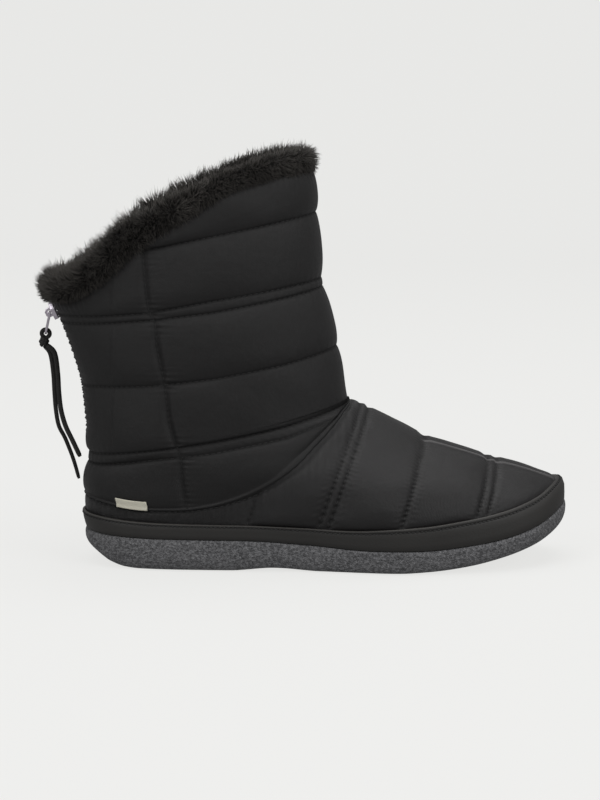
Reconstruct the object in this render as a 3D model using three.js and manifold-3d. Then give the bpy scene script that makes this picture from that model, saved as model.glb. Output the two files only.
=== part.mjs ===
// A right winter boot: quilted nylon upper, fleece collar, foxing band and crepe sole.
// Millimetres. +X points at the toe, +Z is up, and the outer side of the foot faces -Y.
// The origin lies on the floor under the heel.
import * as THREE from "three";
import { mergeVertices } from "three/addons/utils/BufferGeometryUtils.js";
import Module from "manifold-3d";

// Driving dimensions of the last and the upper
const lastLength = 269; // feather line, heel to toe
const heelBack = 37; // origin to the feather line's heel
const ballWidth = 91; // feather line across the ball
const instepRise = 79.5; // seat to the front of the ankle
const collarRise = 206; // seat to the collar at the front
const shaftWidth = 88; // across the shaft, at the stitch lines
const toeSwing = 7; // how far the toe turns towards the other foot
const wall = 3; // nylon, wadding and fleece at a stitch line
const puff = 2.6; // how far a quilted panel swells past its stitches

// Driving dimensions of the bottom
const heelSole = 18.5; // crepe under the heel
const ballSole = 13.2; // crepe under the ball
const toeSpring = 20; // rise of the toe
const heelBevel = 10.5; // the sole's rounded back edge
const archLift = 1.6; // under the waist
const soleEdge = 3; // the sole's side past the feather line
const bandThickness = 2;
const bandRise = 15.5; // foxing band above the seat, at the toe
const insoleThickness = 4;
const clearance = 0.3; // between two neighbouring pieces

// Driving dimensions of the trim
const furDepth = 11; // collar pile above its seam
const furSpread = 4.5; // pile past the shaft's face
const lockLength = 9;
const zipWidth = 8;
const zipFoot = 76; // lower end of the zip, above the floor
const zipThickness = 1.6;
const sliderLength = 10;
const sliderWidth = 6.4;
const tabLength = 13.2;
const tabWidth = 5.2;
const sliderThickness = 2.4;
const sliderDrop = 6; // slider under the collar's edge
const bridgeThickness = 1.6; // the slider's bridge, which the pull tab hangs on
const bridgeOpening = 2.2;
const tabThickness = 1.2;
const tabLean = 12; // degrees that the hanging tab stands off the vertical
const laceDiameter = 2.2;
const labelBack = 18; // label's rear end behind the origin
const labelLength = 17;
const labelHeight = 4.4;
const labelThickness = 0.6;

// Rings round the foot, sole to ankle. back and front are shares of the last's length from its
// heel. low and high are the ring's rise over the seat there, as shares of the instep's.
// heel, waist and ball are half-widths, as shares of the ball's width. round and blunt are the
// powers of the two ends, follow is how far the ring keeps to the seat's own curve, and swing
// how far it keeps to the last's.
const footRings = [
  {
    back: 0.0, front: 1.002, low: 0.0, high: 0.0, heel: 0.378,
    waist: 0.388, ball: 0.5, round: 7.0, blunt: 4.6, follow: 1.0, swing: 1.0,
  },
  {
    back: -0.005, front: 1.003, low: 0.063, high: 0.13, heel: 0.385,
    waist: 0.4, ball: 0.508, round: 6.6, blunt: 4.2, follow: 0.92, swing: 1.0,
  },
  {
    back: -0.008, front: 0.957, low: 0.126, high: 0.287, heel: 0.39,
    waist: 0.415, ball: 0.508, round: 6.0, blunt: 3.6, follow: 0.75, swing: 0.95,
  },
  {
    back: -0.009, front: 0.88, low: 0.2, high: 0.457, heel: 0.393,
    waist: 0.425, ball: 0.497, round: 5.4, blunt: 3.0, follow: 0.5, swing: 0.85,
  },
  {
    back: -0.007, front: 0.768, low: 0.29, high: 0.622, heel: 0.4,
    waist: 0.435, ball: 0.48, round: 4.6, blunt: 2.5, follow: 0.28, swing: 0.7,
  },
  {
    back: -0.004, front: 0.642, low: 0.38, high: 0.818, heel: 0.41,
    waist: 0.445, ball: 0.455, round: 3.8, blunt: 2.3, follow: 0.12, swing: 0.4,
  },
  {
    back: 0.0, front: 0.572, low: 0.46, high: 0.955, heel: 0.425,
    waist: 0.458, ball: 0.455, round: 3.2, blunt: 2.2, follow: 0.04, swing: 0.2,
  },
];

// Rings round the shaft at its stitch lines: ankle, calf, top stitch line and collar. Rises are
// shares of the instep's for the ankle and of the collar's above it, half-widths of the shaft's.
const shaftRings = [
  {
    back: 0.0, front: 0.541, low: 0.526, high: 0.975, rise: instepRise,
    half: 0.468, round: 2.9, blunt: 2.2,
  },
  {
    back: -0.015, front: 0.522, low: 0.403, high: 0.53, rise: collarRise,
    half: 0.49, round: 2.6, blunt: 2.3,
  },
  {
    back: -0.06, front: 0.491, low: 0.586, high: 0.703, rise: collarRise,
    half: 0.5, round: 2.4, blunt: 2.4,
  },
  {
    back: -0.076, front: 0.472, low: 0.633, high: 1.0, rise: collarRise,
    half: 0.49, round: 2.4, blunt: 2.4,
  },
];
const ankleLevel = footRings.length;
const collarLevel = footRings.length + shaftRings.length - 1;

// The sole's top line along the last: shares of the heel's and ball's thickness and of the spring.
const seatLine = [
  { at: 0, heel: 1.02, ball: 0, toe: 0 },
  { at: 0.15, heel: 0.98, ball: 0, toe: 0 },
  { at: 0.33, heel: 0.96, ball: 0, toe: 0 },
  { at: 0.45, heel: 0.5, ball: 0.5, toe: 0 },
  { at: 0.6, heel: 0, ball: 1, toe: 0 },
  { at: 0.7, heel: 0, ball: 1, toe: 0.005 },
  { at: 0.79, heel: 0, ball: 1, toe: 0.1 },
  { at: 0.87, heel: 0, ball: 1, toe: 0.25 },
  { at: 0.94, heel: 0, ball: 1, toe: 0.5 },
  { at: 0.98, heel: 0, ball: 1, toe: 0.76 },
  { at: 1.01, heel: 0, ball: 1, toe: 1.0 },
];

// The tread's height above the floor: shares of the heel's bevel, the arch and the spring.
const treadLine = [
  { at: -0.01, bevel: 1, arch: 0, toe: 0 },
  { at: 0.02, bevel: 0.64, arch: 0, toe: 0 },
  { at: 0.05, bevel: 0.24, arch: 0, toe: 0 },
  { at: 0.08, bevel: 0.05, arch: 0, toe: 0 },
  { at: 0.11, bevel: 0, arch: 0, toe: 0 },
  { at: 0.3, bevel: 0, arch: 0, toe: 0 },
  { at: 0.39, bevel: 0, arch: 1, toe: 0 },
  { at: 0.49, bevel: 0, arch: 0, toe: 0 },
  { at: 0.65, bevel: 0, arch: 0, toe: 0 },
  { at: 0.72, bevel: 0, arch: 0, toe: 0.04 },
  { at: 0.79, bevel: 0, arch: 0, toe: 0.14 },
  { at: 0.87, bevel: 0, arch: 0, toe: 0.35 },
  { at: 0.94, bevel: 0, arch: 0, toe: 0.62 },
  { at: 0.98, bevel: 0, arch: 0, toe: 0.86 },
  { at: 1.01, bevel: 0, arch: 0, toe: 1.08 },
];

// Sideways curve of the last: shares of the toe's swing, outwards negative.
const swingLine = [
  { at: 0, share: 0 },
  { at: 0.35, share: -0.4 },
  { at: 0.62, share: -0.2 },
  { at: 0.8, share: 0.3 },
  { at: 1, share: 1 },
];

// Top edge of the foxing band over the seat, as shares of its rise at the toe.
const bandLine = [
  { at: 0, share: 0.68 },
  { at: 0.15, share: 0.6 },
  { at: 0.33, share: 0.58 },
  { at: 0.5, share: 0.66 },
  { at: 0.62, share: 0.8 },
  { at: 0.75, share: 0.92 },
  { at: 0.87, share: 0.97 },
  { at: 0.97, share: 1.03 },
];

// Seam where the shaft laps the foot: rise over the seat, as shares of the instep's.
const lapLine = [
  { at: 0, share: 0.258 },
  { at: 0.03, share: 0.241 },
  { at: 0.13, share: 0.214 },
  { at: 0.2, share: 0.221 },
  { at: 0.26, share: 0.252 },
  { at: 0.32, share: 0.317 },
  { at: 0.38, share: 0.43 },
  { at: 0.445, share: 0.63 },
  { at: 0.49, share: 0.785 },
  { at: 0.53, share: 0.92 },
  { at: 0.56, share: 1.0 },
  { at: 1, share: 3 },
];

// How the collar's edge arches over the straight line from its back to its front: shares of its
// rise, at shares of its own length.
const collarArch = [
  { at: 0, share: 0 },
  { at: 0.1, share: -0.021 },
  { at: 0.19, share: -0.01 },
  { at: 0.34, share: 0.038 },
  { at: 0.43, share: 0.052 },
  { at: 0.6, share: 0.066 },
  { at: 0.68, share: 0.071 },
  { at: 0.79, share: 0.057 },
  { at: 0.9, share: 0.034 },
  { at: 1, share: 0 },
];

// Stitch lines across the foot, in the side view: shares of the last's length, at the height of
// the instep and down at the seat.
const footSeams = [
  { top: 0.25, foot: 0.19 },
  { top: 0.413, foot: 0.325 },
  { top: 0.589, foot: 0.478 },
  { top: 0.733, foot: 0.641 },
  { top: 0.889, foot: 0.809 },
];
// The two free ends of the lace, from the knot down: x, y and z
const shortEnd = [
  [-60.3, -1.1, 123.3],
  [-56.1, -1, 118.4],
  [-54.6, -0.6, 107],
  [-54.1, -0.6, 96],
  [-53, -1, 86],
  [-50.4, -2.5, 77],
  [-46.3, -4.4, 68.7],
  [-42, -6.4, 60],
];
const longEnd = [
  [-62.2, 1.4, 122.7],
  [-58.8, 1.2, 117.9],
  [-57.2, 0.8, 107],
  [-56.7, 0.8, 96],
  [-56.1, 1, 86],
  [-54.6, 1.6, 76.5],
  [-50.9, 1.8, 68.7],
  [-46.5, 1.2, 57],
  [-43.4, 0.6, 46],
];
const eyeRise = 3; // eye's centre over the tab's lower end
const hitchRadius = 2.25; // the lace's loop round the tab's rim
// Stitch line under the collar, forward of the side seam: its heights over the heel's seat, as
// shares of the collar's rise, over the heel and over the toe.
const topStitch = { heel: 0.751, toe: 1.0 };
// The shaft's side seam: shares of the last's length, at the seat and at the collar's height.
const sideSeam = { low: 0.222, high: 0.099 };

const wasm = await Module();
wasm.setup();

// The smooth value of a table's column, level at its peaks and clamped at its ends.
function smooth(table, at, column) {
  const last = table.length - 1;
  if (at <= table[0].at) return table[0][column];
  if (at >= table[last].at) return table[last][column];
  const i = table.findIndex((row) => row.at > at) - 1;
  const run = table[i + 1].at - table[i].at;
  const rise = (k) => (table[k + 1][column] - table[k][column]) / (table[k + 1].at - table[k].at);
  const slope = (k) => {
    if (k === 0) return rise(0);
    if (k === last) return rise(last - 1);
    const product = rise(k - 1) * rise(k);
    return product <= 0 ? 0 : (2 * product) / (rise(k - 1) + rise(k));
  };
  const f = (at - table[i].at) / run;
  return (
    table[i][column] * (2 * f ** 3 - 3 * f ** 2 + 1) +
    run * slope(i) * (f ** 3 - 2 * f ** 2 + f) +
    table[i + 1][column] * (3 * f ** 2 - 2 * f ** 3) +
    run * slope(i + 1) * (f ** 3 - f ** 2)
  );
}

const share = (x) => (x + heelBack) / lastLength;

function seat(x) {
  const at = share(x);
  return (
    heelSole * smooth(seatLine, at, "heel") +
    ballSole * smooth(seatLine, at, "ball") +
    toeSpring * smooth(seatLine, at, "toe")
  );
}

function tread(x) {
  const at = share(x);
  return (
    heelBevel * smooth(treadLine, at, "bevel") +
    archLift * smooth(treadLine, at, "arch") +
    toeSpring * smooth(treadLine, at, "toe")
  );
}

// Every ring in millimetres, numbered from the sole up by at.
const rings = [
  ...footRings.map((row) => ({
    ...row,
    rise: instepRise,
    heel: row.heel * ballWidth,
    waist: row.waist * ballWidth,
    ball: row.ball * ballWidth,
  })),
  ...shaftRings.map((row) => ({
    ...row,
    heel: row.half * shaftWidth,
    waist: row.half * shaftWidth,
    ball: row.half * shaftWidth,
    follow: 0,
    swing: 0,
  })),
].map((row, at) => ({
  ...row,
  at,
  back: row.back * lastLength - heelBack,
  front: row.front * lastLength - heelBack,
  low: row.low * row.rise,
  high: row.high * row.rise,
  arch: at === collarLevel ? 1 : 0,
}));

const ends = (level) => ({
  backX: smooth(rings, level, "back"),
  backZ: smooth(rings, level, "low"),
  frontX: smooth(rings, level, "front"),
  frontZ: smooth(rings, level, "high"),
});

// Point of the upper's face. angle runs from the heel (0) over the outer side to the toe (PI)
// and back over the inner side, level counts rings up from the sole, and inset is the depth
// under the face.
function surface(angle, level, inset) {
  const step = 0.02;
  const here = ends(level);
  const under = ends(Math.max(0, level - step));
  const over = ends(Math.min(collarLevel, level + step));
  const back = new THREE.Vector2(under.backZ - over.backZ, over.backX - under.backX);
  const front = new THREE.Vector2(over.frontZ - under.frontZ, under.frontX - over.frontX);
  back.normalize().multiplyScalar(-inset);
  front.normalize().multiplyScalar(-inset);
  const along = (1 - Math.cos(angle)) / 2;
  const from = here.backX + back.x;
  const to = here.frontX + front.x;
  const x = from + (to - from) * along;
  const reach = 2 * along - 1;
  const stations = [
    { at: 0, half: smooth(rings, level, "heel") },
    { at: 0.18, half: smooth(rings, level, "heel") },
    { at: 0.42, half: smooth(rings, level, "waist") },
    { at: 0.68, half: smooth(rings, level, "ball") },
    { at: 1, half: smooth(rings, level, "ball") * 0.96 },
  ];
  const power = smooth(rings, level, reach < 0 ? "round" : "blunt");
  const half = (smooth(stations, along, "half") - inset) * Math.sqrt(1 - Math.abs(reach) ** power);
  const outer = Math.sin(angle) >= 0 ? -1 : 1;
  const swing = toeSwing * smooth(swingLine, share(x), "share") * smooth(rings, level, "swing");
  const chord = seat(here.backX) + (seat(here.frontX) - seat(here.backX)) * along;
  const base = chord + (seat(x) - chord) * smooth(rings, level, "follow");
  const lean = (reach < 0 ? back.y : front.y) * reach ** 2 * Math.min(1, level);
  const arch = collarRise * smooth(collarArch, along, "share") * smooth(rings, level, "arch");
  const z = base + clearance + here.backZ + (here.frontZ - here.backZ) * along + arch + lean;
  return new THREE.Vector3(x, outer * half + swing, z);
}

// The level at which a column of the face reaches the height that heightAt gives for its x.
function levelAt(angle, heightAt, top) {
  let low = 0;
  let high = top;
  for (let i = 0; i < 30; i += 1) {
    const middle = (low + high) / 2;
    const point = surface(angle, middle, 0);
    if (point.z < heightAt(point.x)) low = middle;
    else high = middle;
  }
  return (low + high) / 2;
}

const bandHeight = (x) => seat(x) + bandRise * smooth(bandLine, share(x), "share");
const lapHeight = (x) => seat(x) + instepRise * smooth(lapLine, share(x), "share");

const columns = 56;
const angles = Array.from({ length: columns }, (_, i) => (2 * Math.PI * i) / columns);
const bandLevels = angles.map((angle) => levelAt(angle, bandHeight, 3));
const lapLevels = angles.map((angle) => levelAt(angle, lapHeight, ankleLevel));

// Swell between two neighbouring stitch lines: 0 on the lines, 1 halfway.
function pillow(share) {
  const fromMiddle = Math.abs(2 * THREE.MathUtils.clamp(share, 0, 1) - 1);
  return (1 - fromMiddle ** 2.4) ** 0.7;
}

const fade = (distance, width) => 1 - Math.exp(-Math.max(0, distance) / width);

function shaftSwell(angle, level, lapLevel) {
  const point = surface(angle, level, 0);
  const lift = (point.z - seat(0)) / collarRise;
  const seamX = (sideSeam.low + (sideSeam.high - sideSeam.low) * lift) * lastLength - heelBack;
  const row = Math.floor(level);
  let f = level < ankleLevel ? (level - lapLevel) / (ankleLevel - lapLevel) : level - row;
  if (level >= collarLevel - 1 && point.x > seamX) {
    const stitch = topStitch.heel + (topStitch.toe - topStitch.heel) * share(point.x);
    const foot = (surface(angle, collarLevel - 1, 0).z - seat(0)) / collarRise;
    const top = (surface(angle, collarLevel, 0).z - seat(0)) / collarRise;
    f = lift < stitch ? (lift - foot) / (stitch - foot) : (lift - stitch) / (top - stitch);
  } else if (level >= collarLevel) f = 1;
  const fromZip = Math.abs(point.y) - zipWidth / 2;
  const nearZip = point.x < seamX ? fade(fromZip, 2 * puff) : 1;
  return puff * pillow(f) * fade(Math.abs(point.x - seamX), 1.5 * puff) * nearZip;
}

function footSwell(angle, level, lapLevel, bandLevel) {
  if (level <= bandLevel) return 0;
  const point = surface(angle, level, 0);
  const lift = (point.z - seat(point.x)) / instepRise;
  const lines = footSeams.map((seam) => {
    const x = (seam.foot + (seam.top - seam.foot) * lift) * lastLength - heelBack;
    return point.x - x;
  });
  const behind = lines.filter((d) => d >= 0);
  const ahead = lines.filter((d) => d < 0);
  const before = behind.length ? Math.min(...behind) : lastLength;
  const after = ahead.length ? -Math.max(...ahead) : lastLength;
  const across = fade(Math.min(before, after), 7);
  const up = fade((level - bandLevel) * 12, 5) * fade((lapLevel - level) * 12, 5);
  const ridge = point.x > footSeams[2].top * lastLength - heelBack ? fade(Math.abs(point.y), 5) : 1;
  return puff * across * up * ridge;
}

// A closed mesh from triangles: its corners joined and its faces turned outwards.
function closed(corners) {
  const geometry = new THREE.BufferGeometry();
  const places = corners.flatMap((corner) => corner.toArray());
  geometry.setAttribute("position", new THREE.Float32BufferAttribute(places, 3));
  const merged = mergeVertices(geometry, 1e-3);
  const index = merged.index.array;
  const kept = [];
  for (let i = 0; i < index.length; i += 3) {
    const [a, b, c] = index.slice(i, i + 3);
    if (a !== b && b !== c && a !== c) kept.push(a, b, c);
  }
  const at = (k) => new THREE.Vector3().fromBufferAttribute(merged.attributes.position, k);
  let volume = 0;
  for (let i = 0; i < kept.length; i += 3) {
    volume += at(kept[i]).dot(at(kept[i + 1]).cross(at(kept[i + 2])));
  }
  merged.setIndex(volume < 0 ? kept.reverse() : kept);
  return merged;
}

const quad = (a, b, c, d) => [a, b, c, a, c, d];

// Side faces between two closed loops with as many points.
function belt(lower, upper) {
  return lower.flatMap((_, i) => {
    const next = (i + 1) % lower.length;
    return quad(lower[i], lower[next], upper[next], upper[i]);
  });
}

// A loop that is the same on both sides of the long axis, filled by strips across it.
function lid(loop) {
  const faces = [];
  for (let i = 0; i < loop.length / 2; i += 1) {
    const far = (k) => loop[(loop.length - k) % loop.length];
    faces.push(...quad(loop[i], loop[i + 1], far(i + 1), far(i)));
  }
  return faces;
}

// A plate from loops, bottom to top, and a sleeve from loops that run up its outer face and
// down its inner one.
function plate(loops) {
  const sides = loops.slice(1).flatMap((loop, i) => belt(loops[i], loop));
  return closed([...lid(loops[0]).reverse(), ...sides, ...lid(loops[loops.length - 1])]);
}

function sleeve(loops) {
  return closed(loops.flatMap((loop, i) => belt(loop, loops[(i + 1) % loops.length])));
}

const solidOf = (geometry) => {
  const bare = geometry.clone();
  bare.deleteAttribute("normal");
  bare.deleteAttribute("uv");
  const merged = mergeVertices(bare, 1e-4);
  return new wasm.Manifold(
    new wasm.Mesh({
      numProp: 3,
      vertProperties: merged.attributes.position.array,
      triVerts: new Uint32Array(merged.index.array),
    }),
  );
};

function geometryOf(solid) {
  const mesh = solid.getMesh();
  const geometry = new THREE.BufferGeometry();
  geometry.setAttribute("position", new THREE.BufferAttribute(mesh.vertProperties, mesh.numProp));
  geometry.setIndex(new THREE.BufferAttribute(mesh.triVerts, 1));
  return geometry;
}

const boot = new THREE.Group();

function add(name, geometry, color, roughness, metalness = 0) {
  const material = new THREE.MeshStandardMaterial({ color, roughness, metalness });
  const mesh = new THREE.Mesh(geometry, material);
  mesh.name = name;
  boot.add(mesh);
  return mesh;
}

// Crepe sole: its side bulges a little, and its lower edge is rounded
function outsole() {
  const rows = [
    { inset: 7, height: 0 },
    { inset: 3.4, height: 0.04 },
    { inset: 1.2, height: 0.2 },
    { inset: 0.2, height: 0.45 },
    { inset: 0, height: 0.75 },
    { inset: 0.7, height: 1 },
  ];
  const loops = rows.map((row) =>
    angles.map((angle) => {
      const point = surface(angle, 0, row.inset - soleEdge);
      point.z = tread(point.x) + (seat(point.x) - tread(point.x)) * row.height;
      return point;
    }),
  );
  return plate(loops);
}

function insole() {
  const loops = [0, insoleThickness].map((height) =>
    angles.map((angle) => {
      const point = surface(angle, 0, wall + 2 * clearance + height / 2);
      point.z = seat(point.x) + clearance + height;
      return point;
    }),
  );
  return plate(loops);
}

const faceLoop = (levelOf, insetOf) =>
  angles.map((angle, i) => surface(angle, levelOf(i), insetOf(i)));

// Band round the foot over the lower edge of the upper
function foxingBand() {
  const shares = [0, 0.5, 1];
  const outer = shares.map((part) => faceLoop((i) => bandLevels[i] * part, () => -clearance - bandThickness));
  const inner = shares.map((part) => faceLoop((i) => bandLevels[i] * part, () => -clearance));
  return sleeve([...outer, ...inner.reverse()]);
}

// Foot of the upper, from the sole to the seam where the shaft laps it
function vamp() {
  const lap = 0.02;
  const topOf = (i) => lapLevels[i] - lap;
  const bandShares = [0, 0.5, 1];
  const openShares = [0.07, 0.18, 0.32, 0.47, 0.62, 0.76, 0.88, 0.96, 1];
  const levelOf = (i, part) => bandLevels[i] + (topOf(i) - bandLevels[i]) * part;
  const hidden = bandShares.map((part) => faceLoop((i) => bandLevels[i] * part, () => 0));
  const open = openShares.map((part) =>
    faceLoop(
      (i) => levelOf(i, part),
      (i) => -footSwell(angles[i], levelOf(i, part), topOf(i), bandLevels[i]),
    ),
  );
  const inner = [1, 0.7, 0.4, 0.14].map((part) => faceLoop((i) => levelOf(i, part), () => wall));
  const foot = [1, 0].map((part) => faceLoop((i) => bandLevels[i] * part, () => wall));
  return sleeve([...hidden, ...open, ...inner, ...foot]);
}

// Leg of the upper, from that seam to the collar, slit at the back for the zip
function shaft() {
  const lap = 0.02;
  const footOf = (i) => lapLevels[i] + lap;
  const quarter = [0, 0.12, 0.5, 0.88];
  const panel = [0, 0.08, 0.3, 0.7, 0.92];
  const topPanel = [0, 0.08, 0.25, 0.42, 0.55, 0.64, 0.75, 0.92];
  const levels = [
    ...quarter.map((part) => (i) => footOf(i) + (ankleLevel - footOf(i)) * part),
    ...[0, 1].flatMap((k) => panel.map((part) => () => ankleLevel + k + part)),
    ...topPanel.map((part) => () => collarLevel - 1 + part),
    () => collarLevel,
  ];
  const swellAt = (i, level) => shaftSwell(angles[i], level(i), footOf(i));
  const outer = levels.map((level) => faceLoop(level, (i) => -swellAt(i, level)));
  const plain = levels.filter((_, k) => k % 4 === 0 || k === levels.length - 1);
  const inner = plain.reverse().map((level) => faceLoop(level, () => wall));
  const leg = solidOf(sleeve([...outer, ...inner]));
  const slit = new THREE.BoxGeometry(lastLength / 4, zipWidth, 2 * collarRise);
  slit.translate(-heelBack - lastLength / 16, 0, zipFoot + collarRise);
  return geometryOf(leg.subtract(solidOf(slit)));
}

// Fleece collar: a thick rolled ring on the shaft's upper edge, with locks of pile fused on
function furCollar() {
  const section = [
    { inset: -0.2, height: 0 },
    { inset: -1, height: 0.14 },
    { inset: -1.1, height: 0.45 },
    { inset: -0.7, height: 0.82 },
    { inset: 0.2, height: 1 },
    { inset: 1.1, height: 0.92 },
    { inset: 1.6, height: 0.55 },
    { inset: 1.5, height: 0 },
  ];
  const depthAt = (angle) => furDepth * (1.08 + 0.36 * Math.cos(angle));
  const pointAt = (angle, row) => {
    const spread = row.inset < 0 ? furSpread * (0.85 + 0.5 * Math.cos(angle)) : furSpread;
    const point = surface(angle, collarLevel, row.inset * spread);
    point.z += 2 * clearance + depthAt(angle) * row.height;
    return point;
  };
  const ring = solidOf(sleeve(section.map((row) => angles.map((angle) => pointAt(angle, row)))));
  const locks = [];
  const rows = section.slice(2, 6);
  const locksPerRow = 14;
  rows.forEach((row, k) => {
    for (let i = 0; i < locksPerRow; i += 1) {
      const angle = (2 * Math.PI * (i + (k % 2) / 2 + 0.25)) / locksPerRow;
      const root = pointAt(angle, row);
      const core = pointAt(angle, { inset: 0.2, height: 0.5 });
      const away = root.clone().sub(core).normalize();
      const stray = Math.sin(7 * i + 3 * k);
      away.add(new THREE.Vector3(0.5 * stray, 0.4 * Math.cos(5 * i + k), 0.15)).normalize();
      const length = lockLength * (0.65 + 0.2 * Math.cos(angle) + 0.12 * stray);
      const width = Math.min(lockLength / 1.7, 0.8 * depthAt(angle) * row.height);
      const lock = new THREE.ConeGeometry(width, length, 5);
      lock.translate(0, length / 6, 0);
      lock.applyQuaternion(new THREE.Quaternion().setFromUnitVectors(new THREE.Vector3(0, 1, 0), away));
      lock.translate(root.x, root.y, root.z);
      locks.push(solidOf(lock));
    }
  });
  return geometryOf(wasm.Manifold.union([ring, ...locks]));
}

// Closed zip in the shaft's slit: two tapes and the raised coil between them
function zip() {
  const half = zipWidth / 2 - clearance;
  const section = [
    { side: 0, inset: -0.4 },
    { side: 0.3, inset: -0.4 },
    { side: 0.38, inset: 0.6 },
    { side: 1, inset: 0.6 },
    { side: 1, inset: 0.6 + zipThickness },
  ];
  const foot = levelAt(0, () => zipFoot + 2 * clearance + zipThickness, collarLevel);
  const steps = 12;
  const loops = Array.from({ length: steps + 1 }, (_, k) => {
    const level = foot + ((collarLevel - foot) * k) / steps;
    const at = (row, turn) => {
      const point = surface(0, level, row.inset);
      point.y = turn * row.side * half;
      return point;
    };
    const back = { side: 0, inset: 0.6 + zipThickness };
    const outer = section.map((row) => at(row, -1));
    const inner = section.slice(1).map((row) => at(row, 1));
    return [...outer, at(back, 0), ...inner.reverse()];
  });
  return plate(loops);
}

// Slider: its frame's x points into the boot, z up along the zip
const sliderLevel = levelAt(0, () => surface(0, collarLevel, 0).z - sliderDrop, collarLevel);
const sliderPlace = surface(0, sliderLevel, 0);
const alongZip = surface(0, sliderLevel + 0.1, 0).sub(surface(0, sliderLevel - 0.1, 0));
const zipTilt = Math.atan2(alongZip.x, alongZip.z);
const coilTop = 0.4; // the coil stands this far past the shaft's face
const sliderFace = coilTop + clearance + sliderThickness;
const hingeReach = sliderFace + bridgeOpening / 2;

// Flat outlines are extruded sideways (y, z) or across (x, z) into the slider's frame.
function extrude(shape, thickness, acrossAxis) {
  const settings = { depth: thickness, bevelEnabled: false, curveSegments: 5 };
  const geometry = new THREE.ExtrudeGeometry(shape, settings);
  geometry.translate(0, 0, -thickness / 2);
  const turn = new THREE.Matrix4();
  const [x, y, z] = [new THREE.Vector3(1, 0, 0), new THREE.Vector3(0, 1, 0), new THREE.Vector3(0, 0, 1)];
  if (acrossAxis) turn.makeBasis(x, z, y.negate());
  else turn.makeBasis(y, z, x);
  return geometry.applyMatrix4(turn);
}

const cornersOf = (pairs) => pairs.map(([across, up]) => new THREE.Vector2(across, up));
const outlineOf = (pairs) => new THREE.Shape(cornersOf(pairs));

function slider() {
  const w = sliderWidth / 2;
  const l = sliderLength / 2;
  const shield = [
    [-0.7 * w, -l],
    [0.7 * w, -l],
    [w, -0.6 * l],
    [w, 0.3 * l],
    [0.55 * w, l],
    [-0.55 * w, l],
    [-w, 0.3 * l],
    [-w, -0.6 * l],
  ];
  const body = extrude(outlineOf(shield), sliderThickness, false);
  body.translate(-coilTop - clearance - sliderThickness / 2, 0, 0);
  const reach = bridgeOpening + bridgeThickness;
  const foot = bridgeOpening / 2 + bridgeThickness;
  const root = sliderThickness / 2;
  const arch = outlineOf([
    [root, -foot],
    [root, foot],
    [-0.6 * reach, foot],
    [-reach, 0.5 * foot],
    [-reach, -0.5 * foot],
    [-0.6 * reach, -foot],
  ]);
  const open = bridgeOpening / 2;
  const eye = [
    [0, -open],
    [-bridgeOpening, -open],
    [-bridgeOpening, open],
    [0, open],
  ];
  arch.holes.push(new THREE.Path(cornersOf(eye)));
  const bridge = extrude(arch, bridgeThickness, true);
  bridge.translate(-sliderFace, 0, 0);
  return geometryOf(solidOf(body).add(solidOf(bridge)));
}

// Pull tab: its frame's origin is the hinge, and it hangs along -z
function pullTab() {
  const w = tabWidth / 2;
  const bar = tabThickness / 2;
  const tab = new THREE.Shape();
  tab.moveTo(-w, bar);
  tab.lineTo(-0.85 * w, -tabLength + w);
  tab.absarc(0, -tabLength + w, 0.85 * w, Math.PI, 2 * Math.PI, false);
  tab.lineTo(w, bar);
  const slotHalf = bridgeThickness / 2 + clearance;
  const slotEnd = -bar - bridgeOpening / 2 - bridgeThickness - 2 * clearance;
  const slot = [
    [-slotHalf, -bar],
    [slotHalf, -bar],
    [slotHalf, slotEnd],
    [-slotHalf, slotEnd],
  ];
  tab.holes.push(new THREE.Path(cornersOf(slot)));
  const eye = new THREE.Path();
  eye.absarc(0, -tabLength + eyeRise, laceDiameter / 2 + clearance, 0, 2 * Math.PI, true);
  tab.holes.push(eye);
  return extrude(tab, tabThickness, false);
}

// Lace hitched through the tab's eye: a loop round its lower rim, and the knot under it
function laceKnot() {
  const loop = new THREE.TorusGeometry(hitchRadius, laceDiameter / 2, 6, 12);
  loop.rotateX(Math.PI / 2);
  loop.translate(0, 0, -tabLength + eyeRise - hitchRadius);
  const knot = new THREE.SphereGeometry(laceDiameter * 1.1, 10, 6);
  knot.scale(1, 1, 1.1);
  knot.translate(0, 0, -tabLength + eyeRise - 2 * hitchRadius - laceDiameter * 0.9);
  return geometryOf(solidOf(loop).add(solidOf(knot)));
}

function laceEnd(points, steps) {
  const ring = new THREE.Shape();
  ring.absarc(0, 0, laceDiameter / 2, 0, 2 * Math.PI, false);
  const path = new THREE.CatmullRomCurve3(points.map(([x, y, z]) => new THREE.Vector3(x, y, z)));
  const settings = { steps, extrudePath: path, bevelEnabled: false, curveSegments: 4 };
  return new THREE.ExtrudeGeometry(ring, settings);
}

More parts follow.
